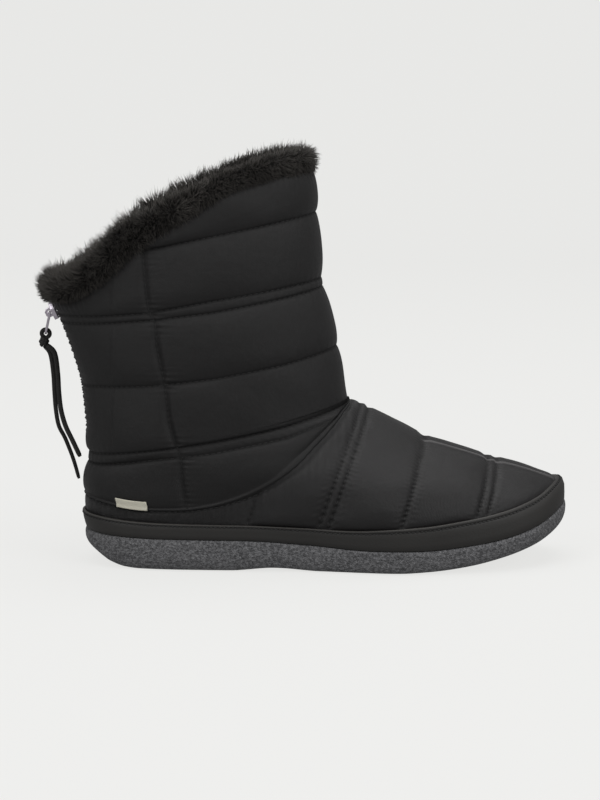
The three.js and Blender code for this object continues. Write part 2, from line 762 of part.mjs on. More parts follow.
// Plain woven label on the outer side of the heel, its lower edge in the seam
function heelLabel() {
  const pieces = 6;
  const angleAt = (x, level) => {
    const { backX, frontX } = ends(level);
    return Math.acos(1 - (2 * (x - backX)) / (frontX - backX));
  };
  const point = (i, rise, depth) => {
    const x = -labelBack + (labelLength * i) / pieces;
    const nearby = levelAt(angleAt(x, 2), (along) => lapHeight(along) + rise, ankleLevel);
    const angle = angleAt(x, nearby);
    const level = levelAt(angle, (along) => lapHeight(along) + rise, ankleLevel);
    const lap = levelAt(angle, lapHeight, ankleLevel);
    return surface(angle, level, -shaftSwell(angle, level, lap) - 2 * clearance - depth);
  };
  const rises = [2 * clearance, labelHeight / 2, labelHeight];
  const row = (rise, depth) => Array.from({ length: pieces + 1 }, (_, i) => point(i, rise, depth));
  const face = (depth) => rises.map((rise) => row(rise, depth));
  const near = face(0);
  const far = face(labelThickness);
  const rim = (sheet) => [...sheet[0], sheet[1][pieces], ...[...sheet[2]].reverse(), sheet[1][0]];
  const strip = (lower, upper) =>
    lower.slice(1).flatMap((_, i) => quad(lower[i], lower[i + 1], upper[i + 1], upper[i]));
  const grid = (sheet) => [0, 1].flatMap((k) => strip(sheet[k], sheet[k + 1]));
  return closed([...grid(far), ...grid(near).reverse(), ...belt(rim(near), rim(far))]);
}

add("outsole", outsole(), 0x57575a, 0.9);
add("insole", insole(), 0x1d1c1b, 0.95);
add("foxing_band", foxingBand(), 0x32302e, 0.7);
add("vamp", vamp(), 0x2b2a2b, 0.45);
add("shaft", shaft(), 0x2b2a2b, 0.5);
add("fur_collar", furCollar(), 0x1f1e1c, 1);
add("zip", zip(), 0x1b1b1c, 0.8);
add("heel_label", heelLabel(), 0xd8d2bd, 0.9);
add("lace_end_short", laceEnd(shortEnd, 12), 0x1b1b1b, 0.85);
add("lace_end_long", laceEnd(longEnd, 16), 0x1b1b1b, 0.85);

const sliderMesh = add("zip_slider", slider(), 0x8c8690, 0.35, 0.9);
sliderMesh.position.copy(sliderPlace);
sliderMesh.rotation.y = zipTilt;

const pull = new THREE.Group();
pull.position.set(-hingeReach, 0, 0).applyAxisAngle(new THREE.Vector3(0, 1, 0), zipTilt).add(sliderPlace);
pull.rotation.y = THREE.MathUtils.degToRad(tabLean);
pull.add(add("zip_pull", pullTab(), 0x8c8690, 0.35, 0.9));
pull.add(add("lace_knot", laceKnot(), 0x1b1b1b, 0.85));
boot.add(pull);

export default boot;
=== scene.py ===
# A right winter boot: quilted nylon upper on a speckled crepe sole, with a fleece collar and a
# back zip that has a lace tied to its pull. Lengths are in millimetres, meshes in metres.
import math

import bmesh
import bpy
import numpy as np
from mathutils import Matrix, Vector


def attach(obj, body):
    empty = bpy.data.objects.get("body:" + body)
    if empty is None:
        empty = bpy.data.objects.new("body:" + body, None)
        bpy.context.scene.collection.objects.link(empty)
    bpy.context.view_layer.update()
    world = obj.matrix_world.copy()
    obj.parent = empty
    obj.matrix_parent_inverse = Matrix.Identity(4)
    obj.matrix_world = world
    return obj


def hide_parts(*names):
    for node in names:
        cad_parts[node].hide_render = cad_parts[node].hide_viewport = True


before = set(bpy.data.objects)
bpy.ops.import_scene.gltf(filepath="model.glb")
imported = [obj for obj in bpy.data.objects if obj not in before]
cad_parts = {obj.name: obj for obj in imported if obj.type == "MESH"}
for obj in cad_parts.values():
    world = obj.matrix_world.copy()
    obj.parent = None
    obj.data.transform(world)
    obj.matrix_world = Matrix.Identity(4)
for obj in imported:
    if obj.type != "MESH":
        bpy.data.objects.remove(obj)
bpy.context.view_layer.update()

# Camera
# It stands square to the boot's outer side, about a metre and a half away, and looks down by 9
# degrees.
MM = 0.001
camera_data = bpy.data.cameras.new("camera")
camera_data.sensor_width = 36
camera_data.lens = 118.6
camera_data.clip_end = 20
camera = bpy.data.objects.new("camera", camera_data)
camera.location = (0.083, -1.4815, 0.3262)
sight = Vector((0.083, 0, 0.0915)) - camera.location
camera.rotation_euler = sight.to_track_quat("-Z", "Y").to_euler()
bpy.context.collection.objects.link(camera)
bpy.context.scene.camera = camera

# Lace
# A round woven lace hitched through the pull tab's eye. Its two free ends hang side by side
# from the knot and part near the heel. Black polyester, braided over a soft core.
LACE = 2.2
SHORT_END = [
    (-60.3, -1.1, 123.3),
    (-56.1, -1, 118.4),
    (-54.6, -0.6, 107),
    (-54.1, -0.6, 96),
    (-53, -1, 86),
    (-50.4, -2.5, 77),
    (-46.3, -4.4, 68.7),
    (-42, -6.4, 60),
]
LONG_END = [
    (-62.2, 1.4, 122.7),
    (-58.8, 1.2, 117.9),
    (-57.2, 0.8, 107),
    (-56.7, 0.8, 96),
    (-56.1, 1, 86),
    (-54.6, 1.6, 76.5),
    (-50.9, 1.8, 68.7),
    (-46.5, 1.2, 57),
    (-43.4, 0.6, 46),
]


class Wire:
    """A node's output, which takes part in sums."""

    def __init__(self, tree, socket):
        self.tree = tree
        self.socket = socket

    def sum(self, operation, first, second):
        return self.tree.node("ShaderNodeMath", {"operation": operation}, {0: first, 1: second})

    def __add__(self, other):
        return self.sum("ADD", self, other)

    def __radd__(self, other):
        return self.sum("ADD", other, self)

    def __sub__(self, other):
        return self.sum("SUBTRACT", self, other)

    def __rsub__(self, other):
        return self.sum("SUBTRACT", other, self)

    def __mul__(self, other):
        return self.sum("MULTIPLY", self, other)

    def __rmul__(self, other):
        return self.sum("MULTIPLY", other, self)


class Tree:
    """A node tree. node() adds a node with its settings and inputs, and gives an output."""

    def __init__(self, tree):
        self.nodes = tree.nodes
        self.links = tree.links

    def node(self, kind, settings=None, inputs=None, output=0):
        made = self.nodes.new(kind)
        for name, value in (settings or {}).items():
            if name == "stops":
                for _ in value[2:]:
                    made.color_ramp.elements.new(1)
                for element, (place, shade) in zip(made.color_ramp.elements, value):
                    element.position = place
                    element.color = (shade, shade, shade, 1)
            else:
                setattr(made, name, value)
        for name, value in (inputs or {}).items():
            if isinstance(value, Wire):
                self.links.new(value.socket, made.inputs[name])
            else:
                made.inputs[name].default_value = value
        return Wire(self, made.outputs[output]) if len(made.outputs) else None


class Finish(Tree):
    """A material. surface() closes it with the values or wires of its shader."""

    def __init__(self, name):
        self.material = bpy.data.materials.new(name)
        self.material.use_nodes = True
        super().__init__(self.material.node_tree)
        self.nodes.clear()

    def place(self):
        return self.node("ShaderNodeTexCoord", output="Object")

    def fact(self, name):
        return self.node("ShaderNodeAttribute", {"attribute_name": name}, output="Fac")

    def noise(self, place, scale, detail=3, roughness=0.6):
        inputs = {"Vector": place, "Scale": scale, "Detail": detail, "Roughness": roughness}
        return self.node("ShaderNodeTexNoise", inputs=inputs)

    def stops(self, value, *stops):
        return self.node("ShaderNodeValToRGB", {"stops": stops}, {"Fac": value})

    def sine(self, value):
        return self.node("ShaderNodeMath", {"operation": "SINE"}, {0: value})

    def mix(self, share, first, second):
        inputs = {0: share, 6: first, 7: second}
        for place in (6, 7):
            if not isinstance(inputs[place], Wire):
                inputs[place] = (*inputs[place], 1)
        return self.node("ShaderNodeMix", {"data_type": "RGBA"}, inputs, 2)

    def bump(self, height, depth, under=None):
        inputs = {"Height": height, "Strength": 1, "Distance": depth * MM}
        if under:
            inputs["Normal"] = under
        return self.node("ShaderNodeBump", inputs=inputs)

    def surface(self, values):
        shader = self.node("ShaderNodeBsdfPrincipled", inputs=values)
        self.node("ShaderNodeOutputMaterial", inputs={"Surface": shader})
        return self


def braid_finish(name, colour, strands, pitch):
    """Braid that winds both ways round a tube; around counts turns, along is in millimetres."""
    finish = Finish(name)
    around = finish.fact("around") * (2 * math.pi * strands)
    along = finish.fact("along") * (2 * math.pi / pitch)
    weave = finish.sine(around + along) * finish.sine(around - along)
    shade = finish.mix(weave * 0.5 + 0.5, [0.5 * part for part in colour], colour)
    normal = finish.bump(weave, 0.25)
    return finish.surface({"Base Color": shade, "Roughness": 0.85, "Normal": normal})


def route_of(points, steps):
    """A smooth line through the points, each stretch cut into that many steps."""
    points = [Vector(point) for point in points]
    padded = [2 * points[0] - points[1], *points, 2 * points[-1] - points[-2]]
    route = []
    for k in range(len(points) - 1):
        before, start, end, after = padded[k : k + 4]
        for step in range(steps):
            t = step / steps
            pull_in = (end - before) * 0.5
            pull_out = (after - start) * 0.5
            point = start * (2 * t**3 - 3 * t**2 + 1) + pull_in * (t**3 - 2 * t**2 + t)
            route.append(point + end * (3 * t**2 - 2 * t**3) + pull_out * (t**3 - t**2))
    return [*route, points[-1]]


def link(name, vertices, faces, facts=None, edges=()):
    """A piece with its mesh from millimetres, smooth shaded."""
    mesh = bpy.data.meshes.new(name)
    scaled = (np.asarray(vertices, float) * MM).tolist()
    mesh.from_pydata(scaled, edges, faces)
    for fact, values in (facts or {}).items():
        layer = mesh.attributes.new(fact, "FLOAT", "POINT")
        layer.data.foreach_set("value", np.asarray(values, np.float32).ravel())
    mesh.shade_smooth()
    piece = bpy.data.objects.new(name, mesh)
    bpy.context.collection.objects.link(piece)
    return piece


def tube(name, route, radius_at, sides=14):
    """A round tube along a route, with its two ends closed."""
    vertices, around, along = [], [], []
    run = 0
    side = Vector((0, 1, 0))
    for k, point in enumerate(route):
        ahead = (route[min(k + 1, len(route) - 1)] - route[max(k - 1, 0)]).normalized()
        side = (side - ahead * side.dot(ahead)).normalized()
        third = ahead.cross(side)
        run += (point - route[k - 1]).length if k else 0
        for i in range(sides):
            turn = 2 * math.pi * i / sides
            reach = (side * math.cos(turn) + third * math.sin(turn)) * radius_at(k)
            vertices.append(point + reach)
            around.append(2 * abs(i / sides - 0.5))
            along.append(run)
    faces = []
    for k in range(len(route) - 1):
        for i in range(sides):
            j = (i + 1) % sides
            low, high = k * sides, (k + 1) * sides
            faces.append((low + i, low + j, high + j, high + i))
    faces.append(tuple(reversed(range(sides))))
    faces.append(tuple(range(len(vertices) - sides, len(vertices))))
    return link(name, vertices, faces, {"around": around, "along": along})


lace_finish = braid_finish("black lace braid", (0.034, 0.033, 0.031), 3, 2.4)


def lace_end(name, node, points, full, tip):
    """An end that is full times its nominal thickness at the knot, and tip times at its tip."""
    route = route_of(points, 8)
    last = len(route) - 1
    cut = {0: 0.8, 1: 0.95, last - 1: 0.95, last: 0.7}

    def half_thick(k):
        return LACE / 2 * (full + (tip - full) * (k / last) ** 2) * cut.get(k, 1)

    piece = tube(name, route, half_thick)
    piece.data.materials.append(lace_finish.material)
    length = sum((b - a).length for a, b in zip(route, route[1:]))
    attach(piece, "pull")
    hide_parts(node)
    tuple(route[0] * MM)
    length * MM
    [tuple(point * MM) for point in route]


# The hitch goes through the tab's eye and round its rim; the knot under it is nearly three
# tight turns of the same lace. HINGE and LEAN place the hanging pull.
HINGE = Vector((-58.548, 0, 141.877))
LEAN = math.radians(12)
TAB_LENGTH = 13.2
EYE_RISE = 3
HITCH = 2.25
KNOT_TURNS = 2.7
KNOT_LENGTH = 4.4
KNOT_REACH = 1.8
KNOT_STEPS = 39


def on_pull(x, y, z):
    """A point of the hanging pull, given from its hinge."""
    turned = (x * math.cos(LEAN) + z * math.sin(LEAN), y, z * math.cos(LEAN) - x * math.sin(LEAN))
    return HINGE + Vector(turned)


def lace_hitch():
    eye = EYE_RISE - TAB_LENGTH
    turns = np.linspace(-0.75 * math.pi, 0.75 * math.pi, 22)
    loop = [on_pull(HITCH * math.sin(t), 0.1, eye - HITCH + HITCH * math.cos(t)) for t in turns]
    knot_top = eye - 2 * HITCH - 0.2
    coil = []
    for k in range(KNOT_STEPS + 1):
        turn = 2 * math.pi * KNOT_TURNS * k / KNOT_STEPS
        wide = KNOT_REACH * math.sin(math.pi * (0.15 + 0.7 * k / KNOT_STEPS))
        down = knot_top - KNOT_LENGTH * k / KNOT_STEPS
        coil.append(on_pull(wide * math.cos(turn), wide * math.sin(turn), down))
    low = on_pull(0, 0, knot_top)
    route = [low, *loop, *coil]
    return tube("lace_hitch", route, lambda k: 0.56 * LACE, 12)


hitch = lace_hitch()
hitch.data.materials.append(lace_finish.material)
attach(hitch, "pull")
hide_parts("lace_knot")
lace_end("lace_short_end", "lace_end_short", SHORT_END, 1.3, 1.25)
lace_end("lace_long_end", "lace_end_long", LONG_END, 1.2, 0.95)

# Outsole
# Speckled grey crepe foam, moulded in one piece: rounded heel, low arch, toe spring and a side
# that bulges a little. It is cemented to the upper, and its tread has shallow waves.
LAST_LENGTH = 269
HEEL_BACK = 37
BALL_WIDTH = 91
INSTEP_RISE = 79.5
COLLAR_RISE = 206
SHAFT_WIDTH = 88
TOE_SWING = 7
HEEL_SOLE = 18.5
BALL_SOLE = 13.2
TOE_SPRING = 20
HEEL_BEVEL = 10.5
ARCH_LIFT = 1.6
SOLE_EDGE = 3
CLEARANCE = 0.3
WAVE_PITCH = 8.5
WAVE_DEPTH = 1.1

# The last's rings, sole to ankle: ends as shares of the last's length, rises as shares of the
# instep's, half-widths at heel, waist and ball as shares of the ball's width, powers of the two
# ends, and how far the ring keeps to the seat's curve and the last's swing.
FOOT_RINGS = """
back   front  low    high   heel   waist  ball   round  blunt  follow  swing
0.0    1.002  0.0    0.0    0.378  0.388  0.5    7.0    4.6    1.0     1.0
-0.005 1.003  0.063  0.13   0.385  0.4    0.508  6.6    4.2    0.92    1.0
-0.008 0.957  0.126  0.287  0.39   0.415  0.508  6.0    3.6    0.75    0.95
-0.009 0.88   0.2    0.457  0.393  0.425  0.497  5.4    3.0    0.5     0.85
-0.007 0.768  0.29   0.622  0.4    0.435  0.48   4.6    2.5    0.28    0.7
-0.004 0.642  0.38   0.818  0.41   0.445  0.455  3.8    2.3    0.12    0.4
0.0    0.572  0.46   0.955  0.425  0.458  0.455  3.2    2.2    0.04    0.2
"""
# The shaft's rings at ankle, calf, top stitch line and collar, with one half-width, as a share
# of the shaft's; rises above the ankle are shares of the collar's.
SHAFT_RINGS = """
back   front  low    high   half   round  blunt
0.0    0.541  0.526  0.975  0.468  2.9    2.2
-0.015 0.522  0.403  0.53   0.49   2.6    2.3
-0.06  0.491  0.586  0.703  0.5    2.4    2.4
-0.076 0.472  0.633  1.0    0.49   2.4    2.4
"""
# The sole's top line and its tread along the last: shares of the heel's and ball's thickness,
# of the heel's bevel, of the arch's lift and of the toe's spring.
SEAT_LINE = """
at    heel  ball  toe
0     1.02  0     0
0.15  0.98  0     0
0.33  0.96  0     0
0.45  0.5   0.5   0
0.6   0     1     0
0.7   0     1     0.005
0.79  0     1     0.1
0.87  0     1     0.25
0.94  0     1     0.5
0.98  0     1     0.76
1.01  0     1     1.0
"""
TREAD_LINE = """
at    bevel arch  toe
-0.01 1     0     0
0.02  0.64  0     0
0.05  0.24  0     0
0.08  0.05  0     0
0.11  0     0     0
0.3   0     0     0
0.39  0     1     0
0.49  0     0     0
0.65  0     0     0
0.72  0     0     0.04
0.79  0     0     0.14
0.87  0     0     0.35
0.94  0     0     0.62
0.98  0     0     0.86
1.01  0     0     1.08
"""
# The last's sideways curve as shares of the swing, outwards negative, and how the collar's edge
# arches over a straight line, as shares of the collar's rise.
SWING_LINE = """
at    share
0     0
0.35  -0.4
0.62  -0.2
0.8   0.3
1     1
"""
COLLAR_ARCH = """
at    share
0     0
0.1   -0.021
0.19  -0.01
0.34  0.038
0.43  0.052
0.6   0.066
0.68  0.071
0.79  0.057
0.9   0.034
1     0
"""


def table_of(text):
    """A written table's columns by name."""
    rows = [row.split() for row in text.strip().splitlines()]
    numbers = np.array([[float(cell) for cell in row] for row in rows[1:]])
    return dict(zip(rows[0], numbers.T))


def smooth(places, values, at):
    """Smooth value at each place, level at the peaks and clamped at the ends."""
    places, values = np.asarray(places, float), np.asarray(values, float)
    at = np.clip(at, places[0], places[-1])
    i = np.clip(np.searchsorted(places, at, side="right") - 1, 0, len(places) - 2)
    each = (i,) if values.ndim == 1 else (i, np.arange(len(at)))
    ahead = (i + 1,) if values.ndim == 1 else (i + 1, np.arange(len(at)))
    runs = np.diff(places).reshape(-1, *[1] * (values.ndim - 1))
    rise = np.diff(values, axis=0) / runs
    product = rise[:-1] * rise[1:]
    total = np.where(product > 0, rise[:-1] + rise[1:], 1)
    slope = np.concatenate([rise[:1], np.where(product > 0, 2 * product / total, 0), rise[-1:]])
    run = places[i + 1] - places[i]
    f = (at - places[i]) / run
    start = values[each] * (2 * f**3 - 3 * f**2 + 1) + run * slope[each] * (f**3 - 2 * f**2 + f)
    return start + values[ahead] * (3 * f**2 - 2 * f**3) + run * slope[ahead] * (f**3 - f**2)


def line_at(table, x, column):
    return smooth(table["at"], table[column], (x + HEEL_BACK) / LAST_LENGTH)


seat_line, tread_line = table_of(SEAT_LINE), table_of(TREAD_LINE)
swing_line, collar_arch = table_of(SWING_LINE), table_of(COLLAR_ARCH)


def seat(x):
    heel = HEEL_SOLE * line_at(seat_line, x, "heel") + BALL_SOLE * line_at(seat_line, x, "ball")
    return heel + TOE_SPRING * line_at(seat_line, x, "toe")


def tread(x):
    ends = HEEL_BEVEL * line_at(tread_line, x, "bevel") + TOE_SPRING * line_at(tread_line, x, "toe")
    return ends + ARCH_LIFT * line_at(tread_line, x, "arch")


def rings_of():
    foot, shaft = table_of(FOOT_RINGS), table_of(SHAFT_RINGS)
    rise = np.array([INSTEP_RISE] * 8 + [COLLAR_RISE] * 3)
    joined = {
        name: np.concatenate([foot[name], shaft[name]])
        for name in ("back", "front", "low", "high", "round", "blunt")
    }
    for name in ("back", "front"):
        joined[name] = joined[name] * LAST_LENGTH - HEEL_BACK
    for name in ("low", "high"):
        joined[name] = joined[name] * rise
    for name in ("heel", "waist", "ball"):
        joined[name] = np.concatenate([foot[name] * BALL_WIDTH, shaft["half"] * SHAFT_WIDTH])
    for name in ("follow", "swing"):
        joined[name] = np.concatenate([foot[name], 0 * shaft["half"]])
    joined["arch"] = np.array([0.0] * 10 + [1.0])
    return joined


rings = rings_of()
ANKLE = 7
COLLAR = 10


def ring(level, name):
    return smooth(np.arange(COLLAR + 1), rings[name], level)


def surface(angle, level, inset):
    """Points of the upper's face. angle runs from the heel over the outer side to the toe and
    back, level counts rings up from the sole, and inset is the depth under the face."""
    angle, level, inset = np.broadcast_arrays(
        np.asarray(angle, float), np.asarray(level, float), np.asarray(inset, float)
    )
    shape = angle.shape
    angle, level, inset = angle.ravel(), level.ravel(), inset.ravel()
    under, over = np.maximum(0, level - 0.02), np.minimum(COLLAR, level + 0.02)
    back = np.stack([ring(under, "low") - ring(over, "low"), ring(over, "back") - ring(under, "back")])
    front = np.stack(
        [ring(over, "high") - ring(under, "high"), ring(under, "front") - ring(over, "front")]
    )
    back = -inset * back / np.linalg.norm(back, axis=0)
    front = -inset * front / np.linalg.norm(front, axis=0)
    along = (1 - np.cos(angle)) / 2
    start = ring(level, "back") + back[0]
    end = ring(level, "front") + front[0]
    x = start + (end - start) * along
    reach = 2 * along - 1
    heel, waist, ball = (ring(level, name) for name in ("heel", "waist", "ball"))
    half = smooth([0, 0.18, 0.42, 0.68, 1], np.stack([heel, heel, waist, ball, 0.96 * ball]), along)
    power = np.where(reach < 0, ring(level, "round"), ring(level, "blunt"))
    half = (half - inset) * np.sqrt(np.maximum(0, 1 - np.abs(reach) ** power))
    swing = TOE_SWING * line_at(swing_line, x, "share") * ring(level, "swing")
    from_seat, to_seat = seat(ring(level, "back")), seat(ring(level, "front"))
    chord = from_seat + (to_seat - from_seat) * along
    base = chord + (seat(x) - chord) * ring(level, "follow")
    lean = np.where(reach < 0, back[1], front[1]) * reach**2 * np.minimum(1, level)
    arch = COLLAR_RISE * smooth(collar_arch["at"], collar_arch["share"], along) * ring(level, "arch")
    low, high = ring(level, "low"), ring(level, "high")
    z = base + CLEARANCE + low + (high - low) * along + arch + lean
    outer = np.where(np.sin(angle) >= 0, -1, 1)
    return np.stack([x, outer * half + swing, z], axis=-1).reshape(*shape, 3)


def level_at(angle, height_at, top):
    """Level at which each column of the face reaches the height for its x."""
    low, high = np.zeros_like(angle), np.full_like(angle, float(top))
    for _ in range(28):
        middle = (low + high) / 2
        point = surface(angle, middle, 0)
        short = point[:, 2] < height_at(point[:, 0])
        low, high = np.where(short, middle, low), np.where(short, high, middle)
    return (low + high) / 2


def columns_of(count):
    return 2 * np.pi * np.arange(count) / count


def shell(name, rows, ring_shaped=False, facts=None, finish_of=None, finishes=()):
    """A piece from loops round it. Where ring_shaped, the last loop joins the first."""
    count, columns = rows.shape[:2]
    index = np.arange(count * columns).reshape(count, columns)
    if ring_shaped:
        index = np.vstack([index, index[:1]])
    beside = np.roll(index, -1, axis=1)
    faces = np.stack([index[:-1], beside[:-1], beside[1:], index[1:]], axis=-1)
    piece = link(name, rows.reshape(-1, 3), faces.reshape(-1, 4).tolist(), facts)
    for finish in finishes:
        piece.data.materials.append(finish.material)
    if finish_of is not None:
        slots = np.repeat(np.asarray(finish_of, np.int32)[: len(index) - 1], columns)
        piece.data.polygons.foreach_set("material_index", slots)
    return piece


def weld(piece, distance=0.02):
    """Joins points that meet, as on a centre line."""
    work = bmesh.new()
    work.from_mesh(piece.data)
    bmesh.ops.remove_doubles(work, verts=work.verts, dist=distance * MM)
    bmesh.ops.dissolve_degenerate(work, edges=work.edges, dist=1e-7)
    work.to_mesh(piece.data)
    work.free()
    return piece


def drawn_in(loop, share):
    """A loop drawn in towards its own long axis."""
    mirrored = np.roll(loop[::-1], 1, axis=0)
    middle = (loop + mirrored) / 2
    return middle + (loop - middle) * share


def crepe_finish():
    """Grey foam crepe: fine crumbs, pale and dark specks, and a soft uneven skin."""
    finish = Finish("speckled grey crepe")
    place = finish.place()
    crumbs = finish.node(
        "ShaderNodeTexVoronoi",
        {"feature": "F1"},
        {"Vector": place, "Scale": 900, "Randomness": 1},
        "Distance",
    )
    grains = finish.noise(place, 650, 4, 0.7)
    clouds = finish.noise(place, 60, 2)
    speck = finish.stops(grains, (0.42, 0), (0.62, 1))
    shade = finish.mix(speck, (0.05, 0.05, 0.053), (0.19, 0.19, 0.197))
    pits = finish.stops(finish.noise(place, 420, 3), (0.3, 0), (0.42, 1))
    worn = finish.mix(clouds * 0.3, shade, (0.22, 0.22, 0.225))
    normal = finish.bump(crumbs + grains * 0.8 + pits * 0.7, 0.7)
    return finish.surface({"Base Color": worn, "Roughness": 0.92, "Normal": normal})


def outsole():
    angles = columns_of(460)
    profile = table_of("""
at    inset
0     7
0.04  3.4
0.2   1.2
0.45  0.2
0.75  0
0.93  0.35
1     0.9
""")
    heights = np.linspace(0, 1, 22) ** 1.25
    rows = []
    for height in heights:
        inset = smooth(profile["at"], profile["inset"], np.array([height]))[0]
        loop = surface(angles, 0, inset - SOLE_EDGE)
        lower, upper = tread(loop[:, 0]), seat(loop[:, 0])
        loop[:, 2] = lower + (upper - lower) * height
        rows.append(loop)
    under = []
    for share in np.linspace(0, 0.985, 26):
        loop = drawn_in(rows[0], share)
        wave = np.sin(2 * np.pi * (loop[:, 0] + 2.2 * np.cos(loop[:, 1] / 4)) / WAVE_PITCH)
        inside = np.clip((1 - share) * 8, 0, 1)
        loop[:, 2] = tread(loop[:, 0]) + WAVE_DEPTH * inside * np.clip(wave * 2.5 - 1.4, 0, 1)
        under.append(loop)
    over = [drawn_in(rows[-1], share) for share in (0.8, 0.4, 0)]
    for loop in over:
        loop[:, 2] = seat(loop[:, 0])
    return weld(shell("crepe_outsole", np.array([*under, *rows, *over])))


sole = outsole()
sole.data.materials.append(crepe_finish().material)
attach(sole, "boot")
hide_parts("outsole")

# Insole
# A thin foam sole covered in short fleece, cut to the last's outline and dropped into the upper.
# It shows only from above.
WALL = 3


def pile_finish(name, dark, light, size, depth):
    """Short pile: soft clumps over fine fibres."""
    finish = Finish(name)
    place = finish.place()
    clumps = finish.noise(place, size, 4, 0.7)
    fibres = finish.noise(place, 6 * size, 2, 0.7)
    tone = finish.stops(clumps * 0.6 + fibres * 0.4, (0.35, 0), (0.65, 1))
    normal = finish.bump(clumps * 0.7 + fibres * 0.3, depth)
    shade = finish.mix(tone, dark, light)
    return finish.surface({"Base Color": shade, "Roughness": 0.95, "Normal": normal})


lining_finish = pile_finish(
    "short fleece lining", (0.008, 0.0075, 0.007), (0.03, 0.028, 0.026), 420, 1.2
)


def insole():
    angles = columns_of(220)
    rows = []
    for height in (0, 1, 2.5, 3.6, 4):
        round_over = 0.5 * max(0, height - 2.4) ** 2
        loop = surface(angles, 0, WALL + 2 * CLEARANCE + height / 2 + round_over)
        loop[:, 2] = seat(loop[:, 0]) + CLEARANCE + height
        rows.append(loop)
    under = [drawn_in(rows[0], share) for share in (0, 0.5)]
    over = [drawn_in(rows[-1], share) for share in np.linspace(0.92, 0, 9)]
    return weld(shell("fleece_insole", np.array([*under, *rows, *over])))


inner_sole = insole()
inner_sole.data.materials.append(lining_finish.material)
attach(inner_sole, "boot")
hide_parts("insole")

# Foxing band
# A smooth coated strip round the foot, 2 mm thick, with its top edge turned and a row of
# stitches about 2 mm below it. It covers the upper's lower edge and is cemented to the sole.
BAND_RISE = 15.5
BAND_STITCH = 0.87
TOE_FROM = 196
TOE_RUN = 34
TOE_PRESS = 1.7
BAND_LINE = table_of("""
at    share
0     0.68
0.15  0.6
0.33  0.58
0.5   0.66
0.62  0.8
0.75  0.92
0.87  0.97
0.97  1.03
""")


def near(distance, width):
    """1 on a line, and nothing a few widths away from it."""
    return np.exp(-((distance / width) ** 2))


def band_height(x):
    return seat(x) + BAND_RISE * line_at(BAND_LINE, x, "share")


def grained_finish(name, dark, light, rough):
    """Smooth coated strip: a faint grain and worn, paler patches, a painted highlight on its top edge
    and painted shade in its stitch groove.
    """
    finish = Finish(name)
    place = finish.place()
    grain = finish.noise(place, 900, 3, 0.65)
    wear = finish.noise(place, 45, 3)
    shade = finish.mix(wear * 0.8 + grain * 0.2, dark, light)
    # Painted highlight: the turned top edge is lightened as if catching the light.
    painted_edge_highlight = finish.mix(finish.fact("edge") * 0.6, shade, [4 * part for part in light])
    # Painted shade: the stitch groove is darkened where shade falls in it.
    groove_shaded = finish.mix(finish.fact("seam") * 0.9, painted_edge_highlight, [0.15 * part for part in dark])
    values = {"Base Color": groove_shaded, "Roughness": wear * 0.14 + rough, "Normal": finish.bump(grain, 0.12)}
    return finish.surface(values)


def thread_finish(name, dark, light):
    """Twisted sewing thread."""
    finish = Finish(name)
    twist = finish.noise(finish.place(), 1500, 2)
    shade = finish.mix(twist, dark, light)
    return finish.surface({"Base Color": shade, "Roughness": 0.6, "Normal": finish.bump(twist, 0.1)})


class Pattern(Tree):
    """A Geometry Nodes tree with named sizes. made() runs it on a source and gives a mesh."""

    def __init__(self, name, sizes):
        self.group = bpy.data.node_groups.new(name, "GeometryNodeTree")
        super().__init__(self.group)
        face = self.group.interface
        face.new_socket(name="Geometry", in_out="INPUT", socket_type="NodeSocketGeometry")
        face.new_socket(name="Geometry", in_out="OUTPUT", socket_type="NodeSocketGeometry")
        self.sizes = {}
        for size, value in sizes.items():
            kind = "NodeSocketInt" if isinstance(value, int) else "NodeSocketFloat"
            socket = face.new_socket(name=size, in_out="INPUT", socket_type=kind)
            self.sizes[socket.identifier] = value
        self.entry = self.nodes.new("NodeGroupInput")
        self.exit = self.nodes.new("NodeGroupOutput")

    def size(self, name):
        return Wire(self, self.entry.outputs[name])

    def vector(self, x, y, z):
        return self.node("ShaderNodeCombineXYZ", inputs={0: x, 1: y, 2: z})

    def close(self, geometry, finish):
        real = self.node("GeometryNodeRealizeInstances", inputs={"Geometry": geometry})
        inputs = {"Geometry": real, "Material": finish.material}
        painted = self.node("GeometryNodeSetMaterial", inputs=inputs)
        self.links.new(painted.socket, self.exit.inputs[0])
        return self

    def made(self, name, source):
        modifier = source.modifiers.new(name, "NODES")
        modifier.node_group = self.group
        for identifier, value in self.sizes.items():
            modifier[identifier] = value
        shown = source.evaluated_get(bpy.context.evaluated_depsgraph_get())
        mesh = bpy.data.meshes.new_from_object(shown)
        source.modifiers.clear()
        mesh.shade_smooth()
        piece = bpy.data.objects.new(name, mesh)
        bpy.context.collection.objects.link(piece)
        return piece


def stitch_pattern(name, finish, spacing, length, thickness):
    """Stitches laid at even steps along lines, each a small flat oval of thread."""
    sizes = {"Spacing": spacing * MM, "Length": length * MM, "Thickness": thickness * MM}
    pattern = Pattern(name, sizes)
    curve = pattern.node("GeometryNodeMeshToCurve", inputs={"Mesh": pattern.size("Geometry")})
    settings = {"mode": "LENGTH"}
    inputs = {"Curve": curve, "Length": pattern.size("Spacing")}
    points = pattern.node("GeometryNodeCurveToPoints", settings, inputs)
    tangent = Wire(pattern, points.socket.node.outputs["Tangent"])
    turn = pattern.node("FunctionNodeAlignRotationToVector", {"axis": "Z"}, {"Vector": tangent})
    inputs = {"Segments": 6, "Rings": 5, "Radius": 0.5}
    bead = pattern.node("GeometryNodeMeshUVSphere", inputs=inputs)
    wide = pattern.size("Thickness")
    inputs = {
        "Points": points,
        "Instance": bead,
        "Rotation": turn,
        "Scale": pattern.vector(wide, wide, pattern.size("Length")),
    }
    return pattern.close(pattern.node("GeometryNodeInstanceOnPoints", inputs=inputs), finish)


def lines_object(name, lines):
    """Open lines as one object of edges."""
    vertices, edges = [], []
    for line in lines:
        first = len(vertices)
        vertices.extend(line)
        edges.extend((k, k + 1) for k in range(first, len(vertices) - 1))
    return link(name, vertices, [], edges=edges)


